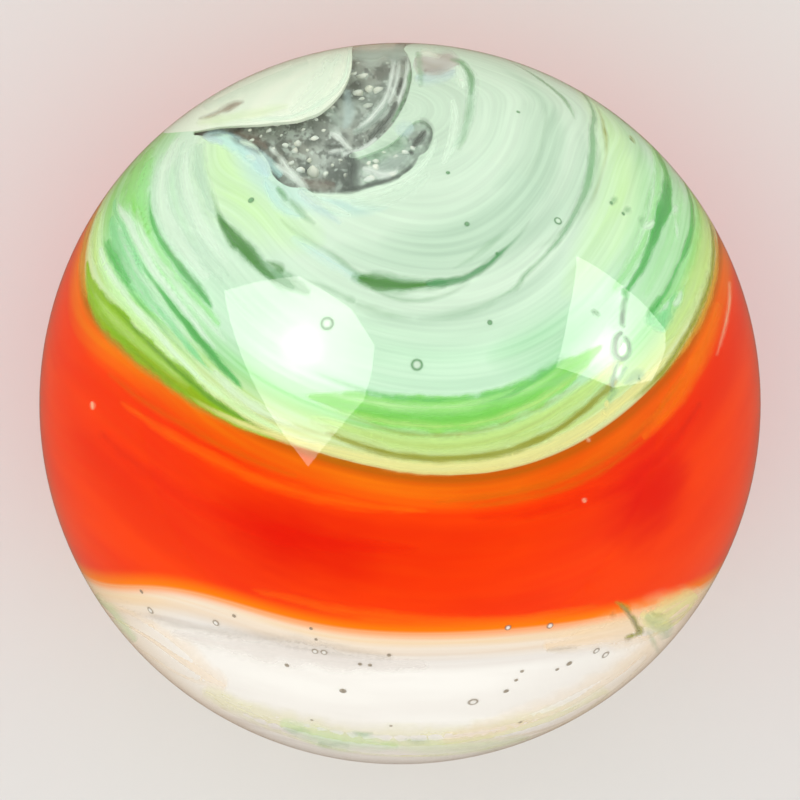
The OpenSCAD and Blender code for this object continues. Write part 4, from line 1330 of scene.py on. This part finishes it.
def heart_material():
    s = sizes()
    glass = Glass("Smoky glass", s.swirl_lean, 60.0, UPPER_SWELLS, fineness=3.0, clouds=5.0)
    glass.base(0, 90, [(0, "haze"), (90, "haze")])
    glass.spots(HEART_SPOTS, BALL_R - s.heart)
    smoky_mottles(glass, 0.75)
    return glass.done()


def curl_material():
    s = sizes()
    glass = Glass("Curl glass", s.swirl_lean, 60.0, UPPER_SWELLS, fineness=3.0, clouds=5.0)
    glass.base(0, 90, [(0, "pale_smoke"), (90, "pale_smoke")])
    smoky_mottles(glass, 0.5)
    glass.veil(glass.lines, "milk_mint", 0.3)
    return glass.done()


def smoky_mottles(glass, strength):
    """Small pale and dark mottles, all over the smoky glass."""
    tree = glass.tree
    coordinates = add(tree, "ShaderNodeTexCoord").outputs["Object"]
    # The mottles stand along +Z, so that those near the ball's side aren't flattened from above
    flat = add(tree, "ShaderNodeMapping", {"Vector": coordinates, "Scale": (1.0, 1.0, 0.2)})
    for scale, name, low, high in (
        (2600.0, "dark_smoke", 0.48, 0.6), (3400.0, "bright_haze", 0.52, 0.64),
        (6500.0, "dark_smoke", 0.5, 0.64), (8000.0, "bright_haze", 0.58, 0.7),
    ):
        mottles = add(
            tree, "ShaderNodeTexNoise", {"Vector": flat.outputs[0], "Scale": scale, "Detail": 3.0},
        ).outputs[0]
        glass.veil(eased(tree, mottles, low, high), name, strength)


def strand_material():
    """Strands of coloured glass that fade into the glass below along ragged edges."""
    material = bpy.data.materials.new("Strand glass")
    material.use_nodes = True
    tree = material.node_tree
    tree.nodes.clear()
    own = add(tree, "ShaderNodeAttribute", attribute_name="glass_colour").outputs["Color"]
    place = add(tree, "ShaderNodeAttribute", attribute_name="strand_place").outputs["Vector"]
    finish = add(tree, "ShaderNodeAttribute", attribute_name="strand_finish").outputs["Vector"]
    strand = grouped(tree, "glass_strand", own=own, place=place, finish=finish)
    shader = add(
        tree, "ShaderNodeBsdfPrincipled",
        {
            "Base Color": strand.outputs["Colour"], "Roughness": 0.5, "Specular IOR Level": 0.0,
            "Alpha": strand.outputs["Cover"],
        },
    )
    add(tree, "ShaderNodeOutputMaterial", (shader.outputs[0],))
    return material


def plain_glass(name, under, over):
    """Glass of small inclusions, in two mixed colours."""
    glass = Glass(name, sizes().swirl_lean, 60.0, UPPER_SWELLS, fineness=9.0, clouds=9.0)
    glass.base(0, 180, [(0, under), (180, under)])
    glass.veil(glass.cloud, over, 1.0)
    return glass.done()


def skin_material():
    """Clear glass that lets the light through to the colours below it."""
    material = bpy.data.materials.new("Clear glass")
    material.use_nodes = True
    tree = material.node_tree
    tree.nodes.clear()
    coordinates = add(tree, "ShaderNodeTexCoord").outputs["Object"]
    waves = add(tree, "ShaderNodeTexNoise", {"Vector": coordinates, "Scale": 420.0, "Detail": 2.0})
    bump = add(
        tree, "ShaderNodeBump",
        {"Height": waves.outputs[0], "Strength": 0.12, "Distance": 0.01 * MM},
    )
    glass = add(
        tree, "ShaderNodeBsdfPrincipled",
        {
            "Base Color": (1, 1, 1, 1), "Roughness": 0.0, "IOR": GLASS_IOR,
            "Transmission Weight": 1.0, "Normal": bump.outputs[0],
        },
    )
    clear = add(tree, "ShaderNodeBsdfTransparent")
    rays = add(tree, "ShaderNodeLightPath").outputs
    light = calc(tree, "MAXIMUM", rays["Is Shadow Ray"], rays["Is Diffuse Ray"])
    mixed = add(tree, "ShaderNodeMixShader", (light, glass.outputs[0], clear.outputs[0]))
    add(tree, "ShaderNodeOutputMaterial", (mixed.outputs[0],))
    return material


def painted_ring_shade(name, centre, rim, cover):
    """Bubbles and pits with painted light: a dark rim of painted shade round each bubble's edge, fading outwards, and,
    in the swirl's bubbles, a pale middle that is a painted glint; round the pits the dark rim is partly brownish dirt.
    """
    material = bpy.data.materials.new(name)
    material.use_nodes = True
    tree = material.node_tree
    tree.nodes.clear()
    share = add(tree, "ShaderNodeAttribute", attribute_name="out_from_middle").outputs["Fac"]
    colour = ramp(tree, share, [(0.0, centre), (0.35, centre), (0.65, rim), (1.0, rim)])
    fade = calc(tree, "SUBTRACT", 1.0, eased(tree, share, 0.6, 1.0))
    shader = add(
        tree, "ShaderNodeBsdfPrincipled",
        {
            "Base Color": colour, "Roughness": 0.4, "Specular IOR Level": 0.0,
            "Alpha": calc(tree, "MULTIPLY", fade, cover),
        },
    )
    add(tree, "ShaderNodeOutputMaterial", (shader.outputs[0],))
    return material


# Stage


def floor_material():
    material = bpy.data.materials.new("Pale floor")
    material.use_nodes = True
    tree = material.node_tree
    tree.nodes.clear()
    glossy = add(tree, "ShaderNodeLightPath").outputs["Is Glossy Ray"]
    colour = blended(tree, glossy, (0.74, 0.74, 0.73, 1), (0.27, 0.2, 0.15, 1))
    seen_direct = add(tree, "ShaderNodeLightPath").outputs["Is Camera Ray"]
    other = calc(tree, "SUBTRACT", calc(tree, "SUBTRACT", 1.0, glossy), seen_direct, clamp=True)
    colour = blended(tree, other, colour, (0.9, 0.92, 0.9, 1))
    shader = add(
        tree, "ShaderNodeBsdfPrincipled",
        {"Base Color": colour, "Roughness": 0.9, "Specular IOR Level": 0.1},
    )
    add(tree, "ShaderNodeOutputMaterial", (shader.outputs[0],))
    return material


def panel_material(name, centre, plain, mirrored, core, core_width):
    """A light panel, brighter in mirrors, with a brighter core that fades outwards."""
    material = bpy.data.materials.new(name)
    material.use_nodes = True
    tree = material.node_tree
    tree.nodes.clear()
    coordinates = add(tree, "ShaderNodeTexCoord").outputs["Object"]
    away = add(
        tree, "ShaderNodeVectorMath", (coordinates, tuple(centre)), operation="DISTANCE",
    ).outputs["Value"]
    away = calc(tree, "DIVIDE", away, core_width)
    fall = calc(tree, "EXPONENT", calc(tree, "MULTIPLY", calc(tree, "POWER", away, 2.0), -1.0))
    bright = calc(tree, "MULTIPLY_ADD", fall, core, mirrored)
    glossy = add(tree, "ShaderNodeLightPath").outputs["Is Glossy Ray"]
    more = calc(tree, "SUBTRACT", bright, plain)
    strength = calc(tree, "MULTIPLY_ADD", more, glossy, plain)
    light = add(tree, "ShaderNodeEmission", {"Color": (1.0, 0.985, 0.93, 1), "Strength": strength})
    add(tree, "ShaderNodeOutputMaterial", (light.outputs[0],))
    return material


def mirrored_from(x, y):
    """The direction that the ball mirrors at a pixel of the photograph."""
    outward = seen(x, y)
    return 2 * outward.z * outward - Vector((0, 0, 1))


def light_panel(name, corners, core_pixel, distance, plain, mirrored, core, core_width):
    """A flat light panel whose mirror image covers the given pixels of the ball."""
    directions = [mirrored_from(x, y) for x, y in corners]
    facing = sum(directions, Vector()).normalized()
    points = [d * (distance / d.dot(facing)) for d in directions]
    middle = mirrored_from(*core_pixel)
    middle = middle * (distance / middle.dot(facing))
    mesh = bpy.data.meshes.new(name)
    mesh.from_pydata(points, [], [list(range(len(points)))])
    panel = bpy.data.objects.new(name, mesh)
    bpy.context.collection.objects.link(panel)
    mesh.materials.append(
        panel_material(name, middle, plain, mirrored, core, core_width)
    )
    panel.visible_camera = False
    panel.visible_shadow = False
    return panel


LEFT_PANEL_SEEN = [(225, 290), (300, 275), (352, 308), (375, 345), (372, 372), (364, 400), (309, 467)]
LEFT_CORE_SEEN = (303, 345)
LEFT_BRIGHT_SEEN = [(262, 330), (300, 316), (322, 320), (350, 342), (344, 366), (324, 386), (296, 396), (266, 352)]
RIGHT_PANEL_SEEN = [
    (570, 259), (614, 288), (657, 331), (657, 350), (643, 381), (605, 388), (550, 368), (561, 318),
]
RIGHT_CORE_SEEN = (598, 356)
RIGHT_BRIGHT_SEEN = [(583, 348), (598, 327), (611, 334), (612, 360), (604, 384), (590, 380), (579, 368)]


class MARBLE_OT_stage(bpy.types.Operator):
    """Sets up the camera, the pale floor, the soft light panels and the surroundings"""

    bl_idname = "marble.stage"
    bl_label = "Stage"

    def execute(self, context):
        drop = 2 * SEEN_DROP * SENSOR / 2 / LENS * camera_distance() / FRAME_PIXELS
        camera = bpy.data.cameras.new("Camera")
        camera.lens = LENS
        camera.sensor_width = SENSOR
        camera.clip_start = 0.001
        eye = bpy.data.objects.new("Camera", camera)
        eye.location = (0, drop, camera_distance())
        context.collection.objects.link(eye)
        context.scene.camera = eye

        bpy.ops.object.select_all(action="DESELECT")
        bpy.ops.mesh.primitive_plane_add(size=3, location=(0, 0, BALL_LOW.z))
        floor = context.object
        floor.name = "floor"
        bpy.ops.object.transform_apply(location=True)
        floor.data.materials.append(floor_material())

        light_panel(
            "left_panel", LEFT_PANEL_SEEN, LEFT_CORE_SEEN, 0.30,
            plain=1.1, mirrored=4.2, core=5.0, core_width=0.07,
        )
        light_panel(
            "left_core", LEFT_BRIGHT_SEEN, LEFT_CORE_SEEN, 0.29,
            plain=1.1, mirrored=6.0, core=9.0, core_width=0.03,
        )
        light_panel(
            "right_panel", RIGHT_PANEL_SEEN, RIGHT_CORE_SEEN, 0.075,
            plain=0.8, mirrored=4.0, core=4.0, core_width=0.014,
        )
        light_panel(
            "right_core", RIGHT_BRIGHT_SEEN, RIGHT_CORE_SEEN, 0.073,
            plain=0.8, mirrored=6.0, core=6.0, core_width=0.008,
        )

        lamp = bpy.data.lights.new("overhead", "AREA")
        lamp.shape = "DISK"
        lamp.size = 0.6
        lamp.energy = 0.26
        overhead = bpy.data.objects.new("overhead", lamp)
        overhead.location = (0, 0, 0.55)
        overhead.visible_glossy = False
        overhead.visible_transmission = False
        overhead.visible_camera = False
        context.collection.objects.link(overhead)

        world = bpy.data.worlds.new("Surroundings")
        world.use_nodes = True
        context.scene.world = world
        tree = world.node_tree
        tree.nodes.clear()
        direction = add(tree, "ShaderNodeTexCoord").outputs["Generated"]
        height = add(tree, "ShaderNodeSeparateXYZ", (direction,)).outputs["Z"]
        rise = eased(tree, height, 0.05, 0.6)
        mirrored = blended(tree, rise, (0.17, 0.17, 0.18, 1), (0.08, 0.08, 0.09, 1))
        low = eased(tree, height, 0.05, 0.5)
        plain = blended(tree, low, (1.35, 1.33, 1.3, 1), (0.97, 0.97, 0.97, 1))
        glossy = add(tree, "ShaderNodeLightPath").outputs["Is Glossy Ray"]
        colour = blended(tree, glossy, plain, mirrored)
        light = add(tree, "ShaderNodeBackground", {"Color": colour, "Strength": 1.0})
        add(tree, "ShaderNodeOutputWorld", (light.outputs[0],))

        context.scene.view_settings.view_transform = "Standard"
        return {"FINISHED"}


class MARBLE_OT_clear_skin(bpy.types.Operator):
    """Builds the clear glass ball that all the coloured glass lies in"""

    bl_idname = "marble.clear_skin"
    bl_label = "Clear skin"

    def execute(self, context):
        skin = new_ball("clear_skin", BALL_R)
        finish_piece(skin, skin_material())
        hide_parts(NODE)
        return {"FINISHED"}


class MARBLE_OT_smoky_heart(bpy.types.Operator):
    """Builds the dark glass that shows through the clear window"""

    bl_idname = "marble.smoky_heart"
    bl_label = "Smoky heart"

    def execute(self, context):
        heart = new_ball("smoky_heart", sizes().heart)
        clouds = bpy.data.textures.new("heart lumps", "CLOUDS")
        clouds.noise_scale = 1.6 * MM
        apply_modifier(heart, "DISPLACE", texture=clouds, strength=0.3 * MM, mid_level=0.5)
        finish_piece(heart, heart_material(), smooth_to=180)
        return {"FINISHED"}


class MARBLE_OT_coloured_shells(bpy.types.Operator):
    """Builds the shells of coloured glass: the swirl, the white lobe, the band and the white field"""

    bl_idname = "marble.coloured_shells"
    bl_label = "Coloured shells"

    def execute(self, context):
        s = sizes()
        shell = new_shell("orange_band", BALL_R - s.skin, s.wall)
        above = border_cutter(s.swirl_lean, math.degrees(s.upper_border), UPPER_SWELLS)
        above_field = border_cutter(s.field_lean, math.degrees(s.lower_border), LOWER_SWELLS)
        swirl = copy_of(shell, "swirl_cap")
        cut(swirl, above, "INTERSECT")
        field = copy_of(shell, "white_field")
        cut(field, above_field, "DIFFERENCE")
        cut(shell, above, "DIFFERENCE")
        cut(shell, above_field, "INTERSECT")

        window = outline_cutter(
            [seen(*p) for p in WINDOW_SEEN] + [round_axis(s.swirl_lean, *p) for p in WINDOW_HIDDEN]
        )
        outline = outline_cutter(
            [seen(*p) for p in LOBE_SEEN] + [round_axis(s.swirl_lean, *p) for p in LOBE_HIDDEN]
        )
        lobe = copy_of(swirl, "white_lobe")
        cut(lobe, outline, "INTERSECT")
        cut(swirl, outline, "DIFFERENCE")
        cut(swirl, window, "DIFFERENCE")

        curl = new_shell("hook_curl", BALL_R - s.skin - 0.12 * MM, s.wall / 2)
        curl_outline = outline_cutter([seen(*p) for p in CURL_SEEN])
        cut(curl, curl_outline, "INTERSECT")
        remove(above, above_field, window, outline, curl_outline)

        finish_piece(swirl, swirl_material())
        finish_piece(lobe, lobe_material())
        finish_piece(shell, band_material())
        finish_piece(field, field_material())
        finish_piece(curl, curl_material())
        return {"FINISHED"}


def photo_pixels(count):
    """A length of so many of the photograph's pixels at the ball, in metres."""
    return count * BALL_R / (SEEN_SHARE * FRAME_PIXELS / 2)


def along_path(points, share):
    """The values at a share of the way along a smooth path through points."""
    at = min(max(share, 0.0), 1.0) * (len(points) - 1)
    step = min(int(at), len(points) - 2)
    t = at - step
    before = points[max(step - 1, 0)]
    after = points[min(step + 2, len(points) - 1)]
    return [
        b + 0.5 * t * (c - a + t * (2 * a - 5 * b + 4 * c - d + t * (3 * b - a - 3 * c + d)))
        for a, b, c, d in zip(before, points[step], points[step + 1], after)
    ]


def new_strand(path, squeeze, place, marks):
    """A sheet along a path that is as wide at each point as its half width and soft edge need."""
    bpy.ops.mesh.primitive_grid_add(x_subdivisions=STRAND_STEPS, y_subdivisions=STRAND_ACROSS, size=2)
    strand = bpy.context.object
    colour, strength, softness, blur, seed = marks
    length = sum((place(*b[:2]) - place(*a[:2])).length for a, b in zip(path, path[1:]))
    places, finish = [], []
    for vertex in strand.data.vertices:
        along, across = (vertex.co.x + 1) / 2, vertex.co.y
        first, second, half = along_path(path, along)
        # The ends are rounded
        end = min(along, 1 - along, STRAND_END) / STRAND_END
        half = max(half, 0.0) * math.sqrt(end * (2 - end))
        ahead, behind = along_path(path, along + 0.01), along_path(path, along - 0.01)
        tight = squeeze(second)
        run, drop = (ahead[0] - behind[0]) * tight, ahead[1] - behind[1]
        fade = softness * (blur + SOFT_SHARE * half)
        out = across * (half + fade) / max(math.hypot(run, drop), 1e-9)
        vertex.co = place(first + drop * out / tight, second - run * out)
        places.append((along * length / MM, across, seed))
        # A strand thins out where it is narrower than the soft edge
        share = min(half / (0.5 * blur), 1.0)
        finish.append((strength * share, (half - fade) / max(half + fade, 1e-9), 0.0))
    note(strand, "strand_place", "FLOAT_VECTOR", places)
    note(strand, "strand_finish", "FLOAT_VECTOR", finish)
    note(strand, "glass_colour", "FLOAT_COLOR", [colour] * len(places))
    return strand


def note(piece, name, kind, values):
    """Gives each point of a piece its own value, for the materials to read."""
    attribute = piece.data.attributes.new(name, kind, "POINT")
    key = "color" if kind == "FLOAT_COLOR" else "vector"
    attribute.data.foreach_set(key, [number for value in values for number in value])


def strands(name, rows, squeeze, place_at, blur=SOFT_PIXELS):
    """Joins strands into one piece, each a little higher than the one before."""
    parts = []
    for count, (colour, strength, softness, *rest) in enumerate(rows):
        depth, path = (rest[0], rest[1]) if len(rest) == 2 else (None, rest[0])
        marks = (shade(colour), strength, softness, blur, count * GOLDEN_TURN)
        parts.append(new_strand(path, squeeze, place_at(count, depth), marks))
    whole = joined(name, parts)
    apply_modifier(whole, "SOLIDIFY", thickness=STRAND_BACK, offset=-1.0)
    unshaded(whole)
    return finish_piece(whole, bpy.data.materials["Strand glass"], smooth_to=60)


def unshaded(piece):
    """Keeps a piece that lies right on the glass below from shading that glass."""
    piece.visible_shadow = False
    piece.visible_diffuse = False


def swirl_place(count, _):
    """Places round the swirl's axis, on the coloured glass, for one of its strands."""
    s = sizes()
    radius = BALL_R - s.skin + STRAND_LIFT + count * STRAND_RISE
    return lambda turn, angle: radius * round_axis(s.swirl_lean, angle, turn)


def marks_place(start):
    """Places by the photograph's pixels on the coloured glass, over so many earlier strands."""

    def place_at(count, _):
        depth = sizes().skin - STRAND_LIFT - (start + count) * STRAND_RISE
        return lambda x, y: under_skin(x, y, depth)

    return place_at


def window_place(count, depth):
    """Places by the photograph's pixels at a depth of so many millimetres in the clear glass."""
    return lambda x, y: under_skin(x, y, depth * MM - count * STRAND_RISE)


class MARBLE_OT_strands(bpy.types.Operator):
    """Lays the streaks of coloured glass on the shells and the threads in the window"""

    bl_idname = "marble.strands"
    bl_label = "Strands"

    def execute(self, context):
        strand_material()
        turned = lambda angle: math.sin(math.radians(angle))
        flat = lambda y: 1.0
        strands("swirl_streaks", SWIRL_STREAKS, turned, swirl_place, SOFT_DEGREES)
        strands("swirl_marks", SWIRL_MARKS, flat, marks_place(len(SWIRL_STREAKS)))
        strands("band_marks", BAND_MARKS, flat, marks_place(0))
        strands("field_marks", FIELD_MARKS, flat, marks_place(0))
        strands("lobe_marks", LOBE_MARKS, flat, marks_place(0))
        strands("curl_marks", CURL_MARKS, flat, window_place)
        strands("window_threads", WINDOW_THREADS, flat, window_place)
        return {"FINISHED"}


class MARBLE_OT_flakes(bpy.types.Operator):
    """Scatters small pale flakes in the clear window"""

    bl_idname = "marble.flakes"
    bl_label = "Flakes"

    def execute(self, context):
        bpy.ops.object.select_all(action="DESELECT")
        bpy.ops.mesh.primitive_ico_sphere_add(subdivisions=2, radius=1.0)
        flake = context.object
        lumps = bpy.data.textures.new("flake lumps", "CLOUDS")
        lumps.noise_scale = 0.9
        apply_modifier(flake, "DISPLACE", texture=lumps, strength=0.9, mid_level=0.5)
        flakes = []
        for count, (x, y, half, depth) in enumerate(FLAKES):
            copy = copy_of(flake, "flake")
            turn = Matrix.Rotation(count * GOLDEN_TURN, 4, "Z") @ Matrix.Rotation(count, 4, "X")
            stretch = Matrix.Diagonal((1.2, 0.95, 0.85, 1.0))
            size = Matrix.Scale(photo_pixels(half) * 1.15, 4)
            place = Matrix.Translation(under_skin(x, y, depth * MM))
            copy.data.transform(place @ size @ turn @ stretch)
            flakes.append(copy)
        remove(flake)
        whole = joined("window_flakes", flakes)
        finish_piece(whole, plain_glass("Flake glass", "flake", "thread"), smooth_to=50)
        return {"FINISHED"}


def laid_bubbles(name, bubble, places, material, rise):
    """Copies of a flat bubble on the coloured glass, each at its pixel and of its size."""
    surface = BALL_R - sizes().skin
    copies = []
    for x, y, across, down in places:
        copy = copy_of(bubble, "bubble")
        outward = seen(x, y)
        facing = outward.to_track_quat("Z", "Y").to_matrix().to_4x4()
        # Seen aslant, a round bubble looks flatter, so it is drawn out towards the ball's edge
        half = max(across, down)
        size = Matrix.Diagonal((photo_pixels(half), photo_pixels(half), rise, 1.0))
        copy.data.transform(Matrix.Translation(outward * surface) @ facing @ size)
        copies.append(copy)
    return finish_piece(joined(name, copies), material, smooth_to=180)


class MARBLE_OT_bubbles(bpy.types.Operator):
    """Lays the small bubbles and pits on the coloured glass, just under the skin"""

    bl_idname = "marble.bubbles"
    bl_label = "Bubbles and pits"

    def execute(self, context):
        bpy.ops.object.select_all(action="DESELECT")
        bpy.ops.mesh.primitive_uv_sphere_add(segments=20, ring_count=12, radius=1.0)
        bubble = context.object
        out = bubble.data.attributes.new("out_from_middle", "FLOAT", "POINT")
        for vertex in bubble.data.vertices:
            out.data[vertex.index].value = min(vertex.co.xy.length, 1.0)
        rise = 0.03 * MM
        # The rings and dots of the swirl's bubbles are painted shade with painted glints; those of the white field's
        # pits are brownish dirt with painted shade.
        ring = painted_ring_shade("Bubble painted shade and glint", "milk_mint", "moss", 0.9)
        dot = painted_ring_shade("Dark bubble painted shade", "moss", "moss", 0.75)
        pit_ring = painted_ring_shade("Pit dirt and painted shade", "milk", "taupe", 0.75)
        pit = painted_ring_shade("Dark pit dirt and painted shade", "taupe", "taupe", 0.7)
        laid_bubbles("swirl_bubbles", bubble, SWIRL_RINGS, ring, rise)
        laid_bubbles("swirl_specks", bubble, SWIRL_DOTS, dot, rise)
        laid_bubbles("field_bubbles", bubble, FIELD_RINGS, pit_ring, rise)
        laid_bubbles("field_pits", bubble, FIELD_DOTS, pit, rise)
        remove(bubble)
        return {"FINISHED"}


class MARBLE_PT_builder(bpy.types.Panel):
    """Lists the marble's pieces in the order in which they are built"""

    bl_label = "Glass marble"
    bl_idname = "MARBLE_PT_builder"
    bl_space_type = "VIEW_3D"
    bl_region_type = "UI"
    bl_category = "Marble"

    def draw(self, context):
        for group in (context.scene.marble_sizes, context.scene.marble_colours):
            for name in group.__annotations__:
                self.layout.prop(group, name)
        for operator in OPERATORS:
            self.layout.operator(operator.bl_idname)


OPERATORS = (
    MARBLE_OT_stage,
    MARBLE_OT_clear_skin,
    MARBLE_OT_smoky_heart,
    MARBLE_OT_coloured_shells,
    MARBLE_OT_strands,
    MARBLE_OT_flakes,
    MARBLE_OT_bubbles,
)
CLASSES = (MarbleSizes, MarbleColours, *OPERATORS, MARBLE_PT_builder)


def register():
    for cls in CLASSES:
        bpy.utils.register_class(cls)
    bpy.types.Scene.marble_sizes = PointerProperty(type=MarbleSizes)
    bpy.types.Scene.marble_colours = PointerProperty(type=MarbleColours)


def unregister():
    del bpy.types.Scene.marble_colours
    del bpy.types.Scene.marble_sizes
    for cls in reversed(CLASSES):
        bpy.utils.unregister_class(cls)


def main():
    register()
    make_groups()
    bpy.ops.marble.stage()
    bpy.ops.marble.clear_skin()
    bpy.ops.marble.smoky_heart()
    bpy.ops.marble.coloured_shells()
    bpy.ops.marble.strands()
    bpy.ops.marble.flakes()
    bpy.ops.marble.bubbles()


if __name__ == "__main__":
    main()
